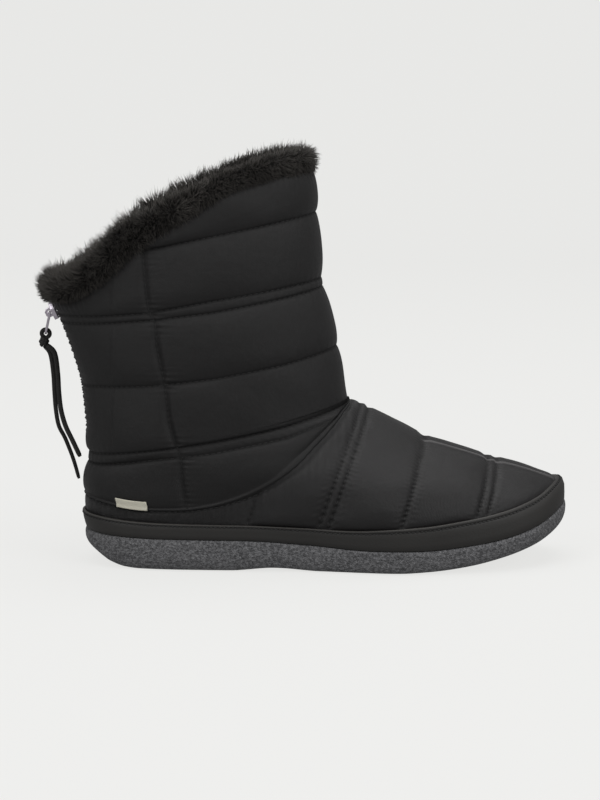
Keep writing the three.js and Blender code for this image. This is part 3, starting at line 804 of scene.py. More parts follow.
def stitched(name, pattern, lines, body):
    """A piece of stitches laid along lines."""
    source = lines_object(name + "_lines", lines)
    piece = pattern.made(name, source)
    bpy.data.objects.remove(source)
    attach(piece, body)


band_finish = grained_finish(
    "dark coated strip", (0.015, 0.014, 0.0128), (0.026, 0.0245, 0.0225), 0.5
)
band_thread = thread_finish("band thread", (0.008, 0.0078, 0.0075), (0.02, 0.0195, 0.019))
band_stitches = stitch_pattern("band stitches", band_thread, 2.4, 1.7, 0.75)


def foxing_band():
    angles = columns_of(700)
    top = level_at(angles, band_height, 3)
    section = table_of("""
part  out
0     0
0     1.9
0.03  2.3
0.3   2.3
0.6   2.3
0.8   2.26
0.845 2.1
0.87  1.75
0.895 2.1
0.93  2.3
0.97  2.25
0.995 1.9
1.005 1.3
0.99  0.35
0.6   0.3
0.3   0.3
""")
    toe = surface(angles, 0, 0)[:, 0]
    toe = np.clip((toe - TOE_FROM) / TOE_RUN, 0, 1)
    rows, seam, edge = [], [], []
    for part, out in zip(section["part"], section["out"]):
        pressed = TOE_PRESS * toe * max(0, part) ** 3 * (out > 1)
        rows.append(surface(angles, top * part, pressed - out))
        # This mask puts painted shade in the stitch groove.
        seam.append(0 * toe + near(part - BAND_STITCH, 0.028))
        # This mask puts a painted highlight on the turned top rim.
        edge.append(0 * toe + near(part - 1, 0.012) * (out > 1))
    line = surface(angles, top * BAND_STITCH, TOE_PRESS * toe * BAND_STITCH**3 - 2.25)
    facts = {"seam": np.array(seam), "edge": np.array(edge)}
    return shell("foxing_band_strip", np.array(rows), True, facts), [line[1:]]


band, band_lines = foxing_band()
band.data.materials.append(band_finish.material)
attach(band, "boot")
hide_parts("foxing_band")
stitched("foxing_band_stitches", band_stitches, band_lines, "boot")

# Vamp
# The foot of the upper: satin woven nylon quilted over wadding, with fleece inside; its nylon is
# painted lighter than the leg's for the light it catches. Double rows of stitches cross it at the
# instep and the toe, with single rows behind and between them. From the row between them a seam with a
# turned edge runs to the toe, just outside the middle; a painted highlight lies along that edge.
# Painted shade darkens the stitch grooves and the strip under the leg's lapped edge.
CENTRE_SEAM = 6.8
TURNED_EDGE = 8.4
LAP_STITCH = 2.2
# One level of the face, from ring to ring, taken as millimetres
RING_GAP = 12
LAP_LINE = table_of("""
at    share
0     0.258
0.03  0.241
0.13  0.214
0.2   0.221
0.26  0.252
0.32  0.317
0.38  0.43
0.445 0.63
0.49  0.785
0.53  0.92
0.56  1.0
1     3
""")
# Stitch rows across the foot: where each stands at six heights over the floor, how much the
# panel in front of it swells, and how deep its stitches pull in. The first has no stitches.
CROSS_HEIGHTS = np.array([18.0, 30.0, 45.0, 60.0, 78.0, 92.0])
CROSS_ROWS = [
    {"x": (6.0, 14.5, 24, 34, 46, 56), "swell": 0.9, "dent": 0.15},
    {"x": (50.6, 54.3, 58.8, 63.5, 69, 73), "swell": 2.1, "dent": 0.35},
    {"x": (91.0, 94.8, 99.8, 105.2, 112.6, 118.3), "swell": 0.8, "dent": 0.75},
    {"x": (96.2, 100, 105, 110.4, 117.8, 123.5), "swell": 2.3, "dent": 0.75},
    {"x": (137.0, 140.5, 145, 149.8, 155.6, 160), "swell": 2.5, "dent": 0.8},
    {"x": (177.5, 181.5, 186.4, 190, 192.5, 194), "swell": 0.8, "dent": 0.8},
    {"x": (183.0, 187, 191.9, 195.5, 198, 199.5), "swell": 2.4, "dent": 0.8},
]
STITCH = 3.3


def lap_height(x):
    return seat(x) + INSTEP_RISE * line_at(LAP_LINE, x, "share")


def pillow(share):
    """Swell between two stitch lines: 0 on the lines, 1 halfway."""
    return np.clip(1 - np.abs(2 * np.clip(share, 0, 1) - 1) ** 2.4, 0, 1) ** 0.7


def fade(distance, width):
    return 1 - np.exp(-np.maximum(0, distance) / width)


def nylon_finish(name, dark, light, rough):
    """Satin woven nylon: fine cross weave, slight creases, dull in the seams, with painted shade
    darkening the seams and a painted highlight on the foot's turned seam edge.
    """
    finish = Finish(name)
    place = finish.place()
    around = finish.fact("around") * (2 * math.pi / 0.7)
    along = finish.fact("along") * (2 * math.pi / 0.7)
    weave = finish.sine(around) * finish.sine(along)
    creases = finish.noise(place, 130, 4, 0.55)
    tone = finish.noise(place, 28, 3)
    seam = finish.fact("seam")
    cloth = finish.mix(tone * 0.7 + weave * 0.08 + 0.1, dark, light)
    # Painted shade: the seams are darkened where shade falls in them.
    shade = finish.mix(seam * 0.85, cloth, [0.25 * part for part in dark])
    # Painted highlight: the foot's turned seam edge is lightened as if catching the light.
    shade = finish.mix(finish.fact("edge"), shade, [5 * part for part in light])
    normal = finish.bump(creases, 0.4, finish.bump(weave, 0.05))
    gloss = tone * 0.12 + seam * 0.3 + rough
    values = {"Base Color": shade, "Roughness": gloss, "Normal": normal, "Specular IOR Level": 0.35}
    return finish.surface(values)


# Painted light: the foot's nylon and thread are the leg's, painted lighter for the extra light that
# falls on the foot.
vamp_finish_painted_lighter = nylon_finish(
    "satin quilted nylon, foot", (0.013, 0.0124, 0.0126), (0.021, 0.0202, 0.0205), 0.36
)
vamp_thread_painted_lighter = thread_finish("foot thread", (0.01, 0.0095, 0.0095), (0.03, 0.029, 0.029))
vamp_stitches = stitch_pattern("foot stitches", vamp_thread_painted_lighter, STITCH, 2.3, 0.55)


def vamp_relief(point, level, lap, band_level):
    """How far the quilted foot stands out of the last's face, where painted shade darkens its seams
    and where a painted highlight lightens its turned edge.
    """
    x, y, z = point[..., 0], point[..., 1], point[..., 2]
    relief = 0.5 + 0 * x
    seam = 0 * x
    dents = 0 * x
    lines = [np.interp(z, CROSS_HEIGHTS, row["x"]) for row in CROSS_ROWS] + [x * 0 + 245.0]
    walk = z - np.abs(y)
    over_band = (level - band_level) * RING_GAP
    under_lap = (lap - level) * RING_GAP
    for row, line, after in zip(CROSS_ROWS, lines, lines[1:]):
        panel = (x >= line) & (x < after)
        relief = np.where(panel, row["swell"] * pillow((x - line) / (after - line)), relief)
    relief = relief * np.where(x < lines[0], fade(lines[0] - x, 4) * 1.6, 1)
    for row, line in zip(CROSS_ROWS, lines):
        gap = np.abs(x - line)
        stitch = 0.5 + 0.5 * np.cos(2 * np.pi * walk / STITCH)
        dents = dents + row["dent"] * (near(gap, 1.9) * (0.35 + stitch))
        dents = dents - 0.28 * row["dent"] * near(gap - 3.2, 2.6) * stitch
        # Painted shade along each cross row's stitches.
        seam = np.maximum(seam, min(1, 1.5 * row["dent"]) * near(gap, 0.8) * (0.55 + 0.45 * stitch))
    up = fade(over_band, 3) * fade(under_lap, 3)
    ridge_y = TOE_SWING * line_at(swing_line, x.ravel(), "share").reshape(x.shape)
    ridge_y = ridge_y * ring(level.ravel(), "swing").reshape(x.shape)
    seamed = 1 / (1 + np.exp((lines[4] - x) / 0.8))
    off = y - ridge_y
    relief = relief * up * (1 - seamed * (1 - fade(np.abs(off), 5)))
    relief = relief - dents * fade(over_band, 1.5)
    relief = relief - seamed * (0.5 * near(off + CENTRE_SEAM, 1) - 0.8 * near(off + TURNED_EDGE, 1))
    # Painted shade in the centre seam.
    seam = np.maximum(seam, seamed * 0.8 * near(off + CENTRE_SEAM, 0.7))
    # Painted highlight along the centre seam's turned edge.
    edge = seamed * near(off + TURNED_EDGE + 0.2, 0.7) * fade(over_band, 2)
    rumple = np.sin(x / 9 + 1.3 * np.sin(z / 11)) * np.sin(z / 7.5 + y / 13)
    pucker = np.exp(-under_lap / 5) * fade(under_lap, 1) * np.sin(2 * np.pi * x / 4.1)
    relief = relief + 0.28 * up * rumple
    relief = relief + 0.3 * pucker
    relief = relief - 0.5 * near(under_lap - LAP_STITCH, 0.9)
    # Painted shade: the lap's stitch groove and the strip just under the leg's lapped edge are
    # darkened as if in its shadow.
    seam = np.maximum(seam, 0.7 * near(under_lap - LAP_STITCH, 0.7))
    seam = np.maximum(seam, 0.9 * np.exp(-np.maximum(0, under_lap) / 0.8))
    return relief, seam, edge


def crossings(points, gap):
    """The line, over the grid's rows, along which gap changes sign, one for each side."""
    half = points.shape[1] // 2
    lines = []
    for side in (slice(0, half), slice(half, None)):
        grid, value = points[:, side], gap[:, side]
        line = []
        for row, numbers in zip(grid, value):
            turns = np.nonzero(np.diff(np.sign(numbers)))[0]
            if len(turns):
                k = turns[0]
                share = numbers[k] / (numbers[k] - numbers[k + 1])
                line.append(row[k] + (row[k + 1] - row[k]) * share)
        if len(line) > 3:
            lines.append(line)
    return lines


def arc_facts(rows):
    """Distances round and up a grid, for its weave."""
    around = np.cumsum(np.linalg.norm(rows - np.roll(rows, 1, axis=1), axis=-1), axis=1)
    around = np.broadcast_to(around.mean(axis=0), rows.shape[:2])
    along = np.cumsum(np.linalg.norm(rows - np.roll(rows, 1, axis=0), axis=-1), axis=0)
    return np.array(around), np.array(np.broadcast_to(along.mean(axis=1)[:, None], rows.shape[:2]))


def vamp():
    angles = columns_of(900)
    band_level = level_at(angles, band_height, 3)
    lap = level_at(angles, lap_height, ANKLE) - 0.02
    hidden = [surface(angles, band_level * part, 0) for part in (0, 0.5, 0.85)]
    start = band_level * 0.9
    parts = np.linspace(0, 1, 84)[:, None]
    levels = start + (lap - start) * parts
    grid_angles = np.broadcast_to(angles, levels.shape)
    bare = surface(grid_angles, levels, 0)
    relief, seam, edge = vamp_relief(bare, levels, lap, band_level)
    open_part = surface(grid_angles, levels, -relief)
    rise = lap - band_level
    inner = [surface(angles, band_level + rise * part, WALL) for part in (1, 0.66, 0.33, 0)]
    inner.append(surface(angles, 0, WALL))
    rows = np.concatenate([hidden, open_part, inner])
    around, along = arc_facts(rows)
    first, outer = len(hidden), len(hidden) + len(seam)
    # This layer carries the painted shade of the seams and of the strip under the lap.
    dark = np.zeros(rows.shape[:2])
    dark[first:outer] = seam
    # This layer carries the painted highlight of the turned edge.
    pale = np.zeros(rows.shape[:2])
    pale[first:outer] = edge
    finish_of = [0] * outer + [1] * (len(inner) + 1)
    facts = {"around": around, "along": along, "seam": dark, "edge": pale}
    piece = shell("quilted_vamp", rows, True, facts, finish_of, (vamp_finish_painted_lighter, lining_finish))
    lines = []
    shown = parts[:, 0] > 0.1
    x, z = bare[..., 0], bare[..., 2]
    for row in CROSS_ROWS[1:]:
        gap = x - np.interp(z, CROSS_HEIGHTS, row["x"])
        lines.extend(crossings(open_part[shown], gap[shown]))
    under_lap = surface(angles, lap - LAP_STITCH / RING_GAP, -0.1)
    lines.append(under_lap[20:-20])
    return piece, lines


foot, foot_lines = vamp()
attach(foot, "boot")
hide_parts("vamp")
stitched("vamp_stitches", vamp_stitches, foot_lines, "boot")

# Shaft
# The leg of the upper, of the same nylon and wadding: puffed panels between single and double
# rows of stitches, a side seam down each side, a slit for the zip at the back, and a turned
# lower edge lapped over the vamp.
ZIP_WIDTH = 8
ZIP_FOOT = 76
ZIP_DEPTH = 2.6
LEG_SWELL = 2.4
# Stitch rows: their height over the floor at six places along the boot, and how much the panel
# over each swells. The last row stops at the side seam.
ROW_PLACES = np.array([-58.0, -30, 0, 35, 75, 112])
SHAFT_ROWS = [
    {"z": (55.5, 58.2, 63.2, 68.0, 76.2, 88.5), "swell": 0.75},
    {"z": (61.2, 64.4, 68.8, 74.2, 82.2, 91.6), "swell": 2.6},
    {"z": (100.0, 103.2, 105.6, 109.8, 117.0, 125.4), "swell": 2.6},
    {"z": (137.2, 139.4, 142.4, 146.8, 153.8, 160.4), "swell": 0.75},
    {"z": (141.8, 143.5, 146.6, 153.2, 159.4, 164.7), "swell": 2.4},
    {"z": (169.0, 175.0, 181.4, 188.7, 196.2, 202.6), "swell": 2.2},
]
# The side seam's place along the boot at heights over the floor
SIDE_SEAM = table_of("""
at    x
36    19.9
53    18.1
65    16.9
73    14.3
87    10.6
109   7.9
130   4.2
140   3.5
148   0
180   -3.1
205   -5
""")


def shaft_relief(point, levels, lines, heights):
    """How far the quilted leg stands out of the last's face, and where painted shade darkens its
    seams.
    """
    x, y, z = point[..., 0], point[..., 1], point[..., 2]
    seam_x = smooth(SIDE_SEAM["at"], SIDE_SEAM["x"], z.ravel()).reshape(z.shape)
    off = x - seam_x
    forward = 1 / (1 + np.exp(-off / 0.8))
    relief, seam = 0 * x, 0 * x
    swells = [LEG_SWELL] + [row["swell"] for row in SHAFT_ROWS]
    for k, swell in enumerate(swells):
        inside = (levels >= lines[k]) & (levels <= lines[k + 1])
        share = (levels - lines[k]) / np.maximum(1e-6, lines[k + 1] - lines[k])
        relief = np.where(inside, swell * pillow(share), relief)
    whole = (levels - lines[5]) / np.maximum(1e-6, lines[7] - lines[5])
    high = levels >= lines[5]
    joined = (1 - forward) * LEG_SWELL * pillow(whole)
    relief = np.where(high, forward * relief + joined, relief)
    walk = np.cumsum(np.linalg.norm(point - np.roll(point, 1, axis=1), axis=-1), axis=1)
    walk = np.broadcast_to(walk.mean(axis=0), x.shape)
    stitch = 0.5 + 0.5 * np.cos(2 * np.pi * walk / STITCH)
    for k in range(1, 7):
        gap = np.abs(z - heights[k - 1])
        strength = forward if k == 6 else 1.0
        # Painted shade along each stitch row.
        seam = np.maximum(seam, strength * near(gap, 0.85) * (0.8 + 0.2 * stitch))
        relief = relief - strength * 0.25 * near(gap, 0.9) * stitch
        pucker = np.exp(-gap / 2.6) * (1 - near(gap, 0.9))
        relief = relief + strength * 0.13 * pucker * np.cos(2 * np.pi * walk / (1.5 * STITCH))
    relief = relief * (1 - 0.75 * near(off, 2.2)) - 0.3 * near(off, 0.8)
    ruck = np.sin(2 * np.pi * z / 3.1 + 0.8 * np.sin(z / 5)) * (1 - near(off, 0.9))
    relief = relief + 0.42 * ruck * np.exp(-np.abs(off - 2) / 4.5)
    # Painted shade along the side seam.
    seam = np.maximum(seam, 0.8 * near(off, 0.75) * (0.6 + 0.4 * np.cos(2 * np.pi * z / STITCH)))
    zipped = (x < -20) & (z > ZIP_FOOT - 1)
    side = np.abs(y)
    by_zip = (x < -20) * np.clip((z - 66) / 12, 0, 1)
    relief = relief * (1 - by_zip * (1 - fade(side - ZIP_WIDTH / 2, 20)))
    ruck = np.sin(2 * np.pi * z / 3.9 + 0.7 * np.sin(z / 6))
    relief = relief + np.where(zipped, 0.7 * ruck * np.exp(-np.abs(side - 8) / 4), 0)
    channel = zipped * (1 / (1 + np.exp((side - ZIP_WIDTH / 2 - 0.2) / 0.15)))
    channel = channel * np.clip((z - ZIP_FOOT) / 1.5, 0, 1)
    relief = relief * (1 - channel) - ZIP_DEPTH * channel
    drop = np.maximum(0, point[-1:, :, 2] - z)
    ruck = np.sin(2 * np.pi * walk / 3.7 + 0.9 * np.sin(walk / 9))
    relief = relief + 0.35 * ruck * np.exp(-drop / 3.5)
    rumple = np.sin(x / 12 + 1.7 * np.sin(z / 17)) * np.sin(z / 9.5 + y / 15)
    relief = relief + 0.3 * rumple * np.minimum(1, np.maximum(0, relief))
    return relief, seam


# The leg's nylon and thread keep their own darker colour.
shaft_finish = nylon_finish(
    "satin quilted nylon, leg", (0.0075, 0.0071, 0.0072), (0.0125, 0.0119, 0.012), 0.44
)
shaft_thread = thread_finish("leg thread", (0.006, 0.0058, 0.0058), (0.018, 0.0175, 0.0175))
shaft_stitches = stitch_pattern("leg stitches", shaft_thread, STITCH, 2.4, 0.45)


def shaft():
    angles = columns_of(400)
    lap = level_at(angles, lap_height, ANKLE) + 0.02
    lines = [lap]
    for row in SHAFT_ROWS:
        level = level_at(angles, lambda x: np.interp(x, ROW_PLACES, row["z"]), COLLAR - 0.03)
        lines.append(np.maximum(level, lines[-1] + 0.02))
    lines[6] = np.minimum(lines[6], COLLAR - 0.02)
    lines.append(np.full_like(angles, float(COLLAR)))
    counts = [30, 9, 38, 36, 9, 34, 26]
    levels = []
    for k, count in enumerate(counts):
        t = np.arange(count) / count
        t = 0.5 * t + 0.25 * (1 - np.cos(np.pi * t))
        levels.extend(lines[k] + (lines[k + 1] - lines[k]) * f for f in t)
    levels.append(lines[7])
    levels = np.array(levels)
    grid_angles = np.broadcast_to(angles, levels.shape)
    bare = surface(grid_angles, levels, 0)
    heights = [np.interp(bare[..., 0], ROW_PLACES, row["z"]) for row in SHAFT_ROWS]
    relief, seam = shaft_relief(bare, levels, lines, heights)
    edge = fade((levels - lap) * RING_GAP, 0.8)
    outer = surface(grid_angles, levels, -np.maximum(relief, 0.9 * (1 - edge) + relief * edge))
    hem = [
        surface(angles, lap - 0.1, 0.2),
        surface(angles, lap - 0.13, -0.35),
        surface(angles, lap - 0.11, -0.95),
        surface(angles, lap - 0.05, -1.2),
    ]
    inner = [surface(angles, lap + (COLLAR - lap) * part, WALL) for part in np.linspace(1, 0, 12)]
    rows = np.concatenate([hem, outer, inner])
    around, along = arc_facts(rows)
    # This layer carries the painted shade of the seams.
    dark = np.zeros(rows.shape[:2])
    dark[len(hem) : len(hem) + len(seam)] = seam
    finish_of = [0] * (len(hem) + len(outer)) + [1] * len(inner)
    facts = {"around": around, "along": along, "seam": dark}
    piece = shell("quilted_shaft", rows, True, facts, finish_of, (shaft_finish, lining_finish))
    stitches = []
    zip_foot = level_at(angles[:1], lambda x: 0 * x + ZIP_FOOT, 10)[0]
    for k in range(1, 7):
        line = surface(angles, lines[k], 0.05)
        open_from = 12 if lines[k][0] > zip_foot else 0
        if k < 6:
            stitches.append(line[open_from : len(line) - open_from])
        else:
            ahead = np.nonzero(line[:, 0] > -3)[0]
            stitches.append(line[ahead])
    seam_x = smooth(SIDE_SEAM["at"], SIDE_SEAM["x"], bare[..., 2].ravel()).reshape(levels.shape)
    stitches.extend(crossings(outer, bare[..., 0] - seam_x))
    return piece, stitches


leg, leg_lines = shaft()
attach(leg, "boot")
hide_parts("shaft")
stitched("shaft_stitches", shaft_stitches, leg_lines, "boot")

# Heel label
# A plain cream label, woven of polyester and cut with heat. Its lower edge is caught in the lap
# seam on the outer side of the heel, and it lies against the leg's first panel.
LABEL_BACK = -18
LABEL_LENGTH = 17
LABEL_HEIGHT = 4.4


def label_finish():
    finish = Finish("cream woven label")
    place = finish.place()
    parts = finish.node("ShaderNodeSeparateXYZ", inputs={0: place})
    up = Wire(finish, parts.socket.node.outputs["Z"])
    across = finish.sine(parts * (2 * math.pi / (0.5 * MM)))
    weave = across * finish.sine(up * (2 * math.pi / (0.4 * MM)))
    shade = finish.mix(weave * 0.3 + 0.5, (0.72, 0.69, 0.56), (0.9, 0.87, 0.74))
    return finish.surface({"Base Color": shade, "Roughness": 0.85, "Normal": finish.bump(weave, 0.08)})


def heel_label():
    along, up = 28, 8
    x = LABEL_BACK + LABEL_LENGTH * np.arange(along + 1) / along
    sheets = []
    for out in (0.35, 0.95):
        rows = []
        for rise in np.linspace(-0.6, LABEL_HEIGHT, up + 1):
            level = np.full_like(x, 2.0)
            for _ in range(3):
                back, front = ring(level, "back"), ring(level, "front")
                angle = np.arccos(1 - 2 * (x - back) / (front - back))
                level = level_at(angle, lambda place: lap_height(place) + rise, ANKLE)
            lap = level_at(angle, lap_height, ANKLE)
            first_row = SHAFT_ROWS[0]["z"]
            line = level_at(angle, lambda place: np.interp(place, ROW_PLACES, first_row), 9)
            swell = LEG_SWELL * pillow((level - lap) / (line - lap)) + 0.3
            rows.append(surface(angle, level, -np.maximum(swell, 1.3) - out))
        sheets.append(np.array(rows))
    vertices = np.concatenate([sheets[0].reshape(-1, 3), sheets[1].reshape(-1, 3)])
    index = np.arange(len(vertices)).reshape(2, up + 1, along + 1)
    faces = []
    for sheet, flip in ((index[0], True), (index[1], False)):
        quads = np.stack([sheet[:-1, :-1], sheet[:-1, 1:], sheet[1:, 1:], sheet[1:, :-1]], axis=-1)
        quads = quads.reshape(-1, 4)
        faces.extend((quads[:, ::-1] if flip else quads).tolist())
    rim = [index[:, 0, :], index[:, :, -1], index[:, -1, ::-1], index[:, ::-1, 0]]
    for near_row, far_row in rim:
        faces.extend(np.stack([near_row[:-1], near_row[1:], far_row[1:], far_row[:-1]], -1).tolist())
    return weld(link("woven_label", vertices, faces), 0.001)


label = heel_label()
label.data.materials.append(label_finish().material)
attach(label, "boot")
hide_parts("heel_label")

# Fleece collar
# Deep black-brown pile on the shaft's slanting edge, rolled over it and thickest at the back.
# A core carries thousands of bent, tapered hairs that lean together in tufts.
FUR_DEPTH = 11
FUR_SPREAD = 4.5
HAIRS_PER_SQUARE_METRE = 1500000.0
# The pile's height over the shaft's edge, from the back of the collar to the front, and the
# core's section in shares: how far in from the shaft's face, and how high
FUR_LINE = table_of("""
at    height
0     16
0.08  19
0.17  22.5
0.25  24
0.38  18
0.5   15
0.68  10.8
0.85  12.5
1     13
""")
FUR_SECTION = table_of("""
inset height
-0.2  0.02
-0.9  0.12
-1.15 0.35
-1.1  0.6
-0.75 0.85
-0.2  0.98
0.4   1.0
1.0   0.88
1.5   0.6
1.6   0.25
1.5   0.02
""")


def fur_core(columns):
    angles = columns_of(columns)
    depth = smooth(FUR_LINE["at"], FUR_LINE["height"], (1 - np.cos(angles)) / 2)
    rows, pile = [], []
    for inset, height in zip(FUR_SECTION["inset"], FUR_SECTION["height"]):
        spread = FUR_SPREAD * (0.8 + 0.45 * np.cos(angles)) if inset < 0 else FUR_SPREAD
        lump = np.sin(9 * angles + 7 * height) * np.sin(5 * angles + 3 * inset)
        lump = lump * 0.8 + 0.5 * np.sin(31 * angles + 5 * height)
        front = 2.6 * np.clip(-np.cos(angles), 0, 1) ** 3
        loop = surface(angles, COLLAR, 0.62 * inset * spread - lump * 0.4 + front)
        back = np.clip(np.cos(angles), 0, 1) ** 2
        loop[:, 2] += height * (depth * 0.66 + lump + 2) - 0.7 + 2 * back * (1 - height)
        rows.append(loop)
        shorter = 1 - (0.38 + 0.3 * back) * (1 - height)
        pile.append(np.clip(depth / FUR_DEPTH, 0.9, 1.5) * shorter)
    return shell("fleece_core", np.array(rows), True, {"pile": np.array(pile)})


def fur_finish():
    finish = Finish("black-brown fleece pile")
    tip = finish.fact("tip")
    tone = finish.noise(finish.place(), 55, 3)
    shade = finish.mix(tip * (tone + 0.4), (0.008, 0.0075, 0.007), (0.1, 0.093, 0.085))
    values = {"Base Color": shade, "Roughness": 0.8, "Specular IOR Level": 0.25}
    return finish.surface(values)


def hair(length, thickness):
    """One bent, tapered hair that stands on its root."""
    vertices, tips = [], []
    for share, wide in ((0, 1), (0.5, 0.85)):
        for i in range(3):
            turn = 2 * math.pi * i / 3
            bend = 0.3 * length * share**2
            x = bend + thickness / 2 * wide * math.cos(turn)
            vertices.append((x, thickness / 2 * wide * math.sin(turn), length * share))
            tips.append(share)
    vertices.append((0.3 * length, 0, length))
    tips.append(1)
    faces = []
    for i in range(3):
        j = (i + 1) % 3
        faces.extend([(i, j, 3 + j, 3 + i), (3 + i, 3 + j, 6)])
    return link("hair", vertices, faces, {"tip": tips})


def hair_pattern(finish, strand, density, tousle, seed):
    """Hairs spread over a core, leaning with a slow noise so that they gather in tufts."""
    sizes = {"Density": density, "Tousle": tousle, "Seed": seed}
    pattern = Pattern("fleece hairs", sizes)
    inputs = {"Mesh": pattern.size("Geometry"), "Density": pattern.size("Density")}
    inputs["Seed"] = pattern.size("Seed")
    points = pattern.node("GeometryNodeDistributePointsOnFaces", inputs=inputs)
    normal = Wire(pattern, points.socket.node.outputs["Normal"])
    drift = pattern.node(
        "ShaderNodeTexNoise", {"noise_dimensions": "3D"}, {"Scale": 95.0, "Detail": 2.0}, "Color"
    )
    centred = pattern.node(
        "ShaderNodeVectorMath", {"operation": "SUBTRACT"}, {0: drift, 1: (0.5, 0.5, 0.53)}
    )
    leaned = pattern.node(
        "ShaderNodeVectorMath", {"operation": "SCALE"}, {0: centred, "Scale": pattern.size("Tousle")}
    )
    lean = pattern.node("ShaderNodeVectorMath", {"operation": "ADD"}, {0: normal, 1: leaned})
    turn = pattern.node("FunctionNodeAlignRotationToVector", {"axis": "Z"}, {"Vector": lean})
    spin = pattern.node("FunctionNodeRandomValue", {"data_type": "FLOAT"}, {2: -1.4, 3: 1.4, 8: 5}, 1)
    spun = pattern.node(
        "FunctionNodeAxisAngleToRotation", inputs={"Axis": (0, 0, 1), "Angle": spin}
    )
    turned = pattern.node(
        "FunctionNodeRotateRotation",
        {"rotation_space": "LOCAL"},
        {"Rotation": turn, "Rotate By": spun},
    )
    inputs = {2: 0.65, 3: 1.15, 8: 11}
    length = pattern.node("FunctionNodeRandomValue", {"data_type": "FLOAT"}, inputs, 1)
    pile = pattern.node("GeometryNodeInputNamedAttribute", {"data_type": "FLOAT"}, {"Name": "pile"})
    strand_in = pattern.node("GeometryNodeObjectInfo", inputs={"Object": strand}, output="Geometry")
    inputs = {
        "Points": points,
        "Instance": strand_in,
        "Rotation": turned,
        "Scale": pattern.vector(1.0, 1.0, length * pile),
    }
    return pattern.close(pattern.node("GeometryNodeInstanceOnPoints", inputs=inputs), finish)


fur_material = fur_finish()
core = fur_core(260)
core.data.materials.append(lining_finish.material)
piles = []
for name, length, thick, tousle, seed in (("under", 4.2, 0.42, 1.8, 7), ("over", 6, 0.36, 3, 19)):
    strand = hair(length, thick)
    pattern = hair_pattern(fur_material, strand, HAIRS_PER_SQUARE_METRE, tousle, seed)
    piles.append(pattern.made("fleece_pile_" + name, core))
    bpy.data.objects.remove(strand)
for part in (core, *piles):
    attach(part, "boot")
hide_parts("fur_collar")

# Zip
# A closed coil zip in the slit at the back: two woven tapes sewn in, and the nylon coil raised
# between them.
COIL_PITCH = 1.5
TAPE_STEP = 1.05


def tape_finish():
    finish = Finish("black zip tape")
    around = finish.fact("around") * (2 * math.pi / 0.6)
    along = finish.fact("along") * (2 * math.pi / 0.9)
    weave = finish.sine(around + along) * finish.sine(around - along)
    shade = finish.mix(weave * 0.5 + 0.5, (0.009, 0.009, 0.0095), (0.022, 0.022, 0.023))
    return finish.surface({"Base Color": shade, "Roughness": 0.8, "Normal": finish.bump(weave, 0.15)})


def coil_finish():
    finish = Finish("black nylon coil")
    wear = finish.noise(finish.place(), 600, 2)
    shade = finish.mix(wear, (0.01, 0.01, 0.011), (0.03, 0.03, 0.032))
    return finish.surface({"Base Color": shade, "Roughness": wear * 0.2 + 0.3})


def zip_tapes():
    foot = level_at(np.zeros(1), lambda x: 0 * x + ZIP_FOOT + 1.5, COLLAR)[0]
    levels = np.linspace(foot, COLLAR - 0.01, 70)
    section = ((-3.7, 2.2), (-3.7, 0.7), (-2.6, 0.5), (-1.5, 0.45), (0, 0.9), (1.5, 0.45), (2.6, 0.5))
    section = (*section, (3.7, 0.7), (3.7, 2.2), (0, 2.3))
    rows, around, along = [], [], []
    for k, level in enumerate(levels):
        loop = np.array([surface(np.zeros(1), level, inset)[0] for _, inset in section])
        loop[:, 1] = [side for side, _ in section]
        rows.append(loop)
        around.append([side for side, _ in section])
        along.append([k * TAPE_STEP] * len(section))
    rows = np.array(rows)[:, ::-1]
    facts = {"around": np.array(around)[:, ::-1], "along": np.array(along)}
    piece = shell("zip_tapes", rows, facts=facts)
    work = bmesh.new()
    work.from_mesh(piece.data)
    bmesh.ops.holes_fill(work, edges=[edge for edge in work.edges if edge.is_boundary])
    bmesh.ops.recalc_face_normals(work, faces=work.faces)
    work.to_mesh(piece.data)
    work.free()
    centre = [surface(np.zeros(1), level, 0.35)[0] for level in levels[1:-1]]
    return piece, centre


tapes, coil_line = zip_tapes()
tapes.data.materials.append(tape_finish().material)
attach(tapes, "boot")
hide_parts("zip")
coil_sides = []
for side in (-0.75, 0.75):
    coil_sides.append([point + np.array([0, side, 0]) for point in coil_line])
coil_pattern = stitch_pattern("zip coil", coil_finish(), COIL_PITCH, 1.15, 1.9)
stitched("zip_coil", coil_pattern, coil_sides, "boot")

# Slider and pull tab
# Die-cast zinc with a lilac gunmetal plating, satin on the faces and bright on the edges. The
# slider grips the coil under the collar, and the tab hangs on its bridge.
EDGE_ROUND = 0.25


def metal_finish():
    finish = Finish("lilac gunmetal plating")
    place = finish.place()
    tone = finish.noise(place, 300, 3)
    fine = finish.noise(place, 2500, 2)
    shade = finish.mix(tone, (0.6, 0.55, 0.62), (0.78, 0.73, 0.8))
    values = {"Base Color": shade, "Metallic": 1.0, "Roughness": tone * 0.2 + 0.24}
    values["Normal"] = finish.bump(fine, 0.02)
    return finish.surface(values)


metal = metal_finish()


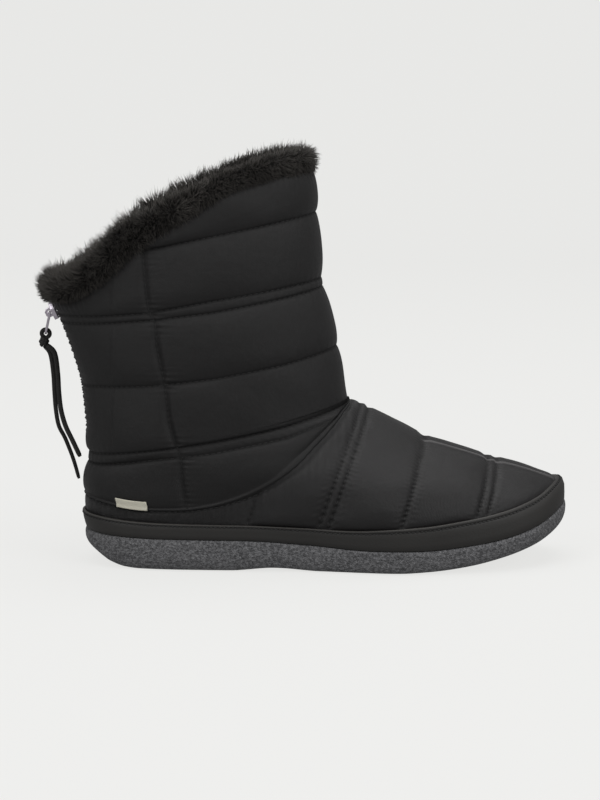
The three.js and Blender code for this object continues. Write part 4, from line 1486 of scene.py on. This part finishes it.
def cast_piece(name, node, body):
    """The node's own shape with its edges rounded."""
    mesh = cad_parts[node].data.copy()
    work = bmesh.new()
    work.from_mesh(mesh)
    bmesh.ops.remove_doubles(work, verts=work.verts, dist=1e-6)
    bmesh.ops.dissolve_limit(
        work, angle_limit=math.radians(2), verts=work.verts, edges=work.edges
    )
    work.to_mesh(mesh)
    work.free()
    mesh.materials.clear()
    mesh.materials.append(metal.material)
    piece = bpy.data.objects.new(name, mesh)
    bpy.context.collection.objects.link(piece)
    bevel = piece.modifiers.new("rounded", "BEVEL")
    bevel.width = EDGE_ROUND * MM
    bevel.segments = 2
    bevel.limit_method = "ANGLE"
    shown = piece.evaluated_get(bpy.context.evaluated_depsgraph_get())
    piece.data = bpy.data.meshes.new_from_object(shown)
    piece.modifiers.clear()
    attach(piece, body)
    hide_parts(node)


cast_piece("slider_casting", "zip_slider", "boot")
cast_piece("pull_tab_casting", "zip_pull", "pull")

# Floor and light
# A pale paper sweep with an even tone of its own, and soft boxes to the left, to the right and
# overhead.


def sweep():
    profile = [(-3.0, 0), (1.6, 0)]
    for k in range(1, 13):
        turn = math.pi / 2 * k / 12
        profile.append((1.6 + 0.8 * math.sin(turn), 0.8 - 0.8 * math.cos(turn)))
    profile.append((2.4, 4.0))
    vertices = [(x * 1000, y * 1000, z * 1000 - 0.05) for y, z in profile for x in (-4, 4)]
    faces = [(2 * k, 2 * k + 1, 2 * k + 3, 2 * k + 2) for k in range(len(profile) - 1)]
    return link("paper_sweep", vertices, faces)


def paper_finish():
    finish = Finish("pale paper")
    values = {"Base Color": (0.12, 0.12, 0.12, 1), "Roughness": 1, "Specular IOR Level": 0}
    values |= {"Emission Color": (0.735, 0.735, 0.722, 1), "Emission Strength": 1}
    return finish.surface(values)


paper = sweep()
paper.data.materials.append(paper_finish().material)
paper.visible_diffuse = False
paper.visible_glossy = False


def soft_box(name, place, target, size, power):
    lamp = bpy.data.lights.new(name, "AREA")
    lamp.shape = "RECTANGLE"
    lamp.size, lamp.size_y = size
    lamp.energy = power
    box = bpy.data.objects.new(name, lamp)
    box.location = place
    box.rotation_euler = (Vector(target) - Vector(place)).to_track_quat("-Z", "Y").to_euler()
    bpy.context.collection.objects.link(box)


soft_box("left_box", (-1.3, -1.5, 1.2), (0.05, 0, 0.1), (1.2, 1.2), 15)
soft_box("right_box", (1.5, -1.2, 1.1), (0.1, 0, 0.1), (1.2, 1.2), 14)
soft_box("top_box", (0.1, 0.1, 1.9), (0.08, 0, 0.1), (1.6, 1.6), 20)
world = bpy.data.worlds.new("studio")
world.use_nodes = True
world.node_tree.nodes["Background"].inputs["Color"].default_value = (1, 1, 1, 1)
world.node_tree.nodes["Background"].inputs["Strength"].default_value = 0.3
bpy.context.scene.world = world
bpy.context.scene.view_settings.view_transform = "Standard"
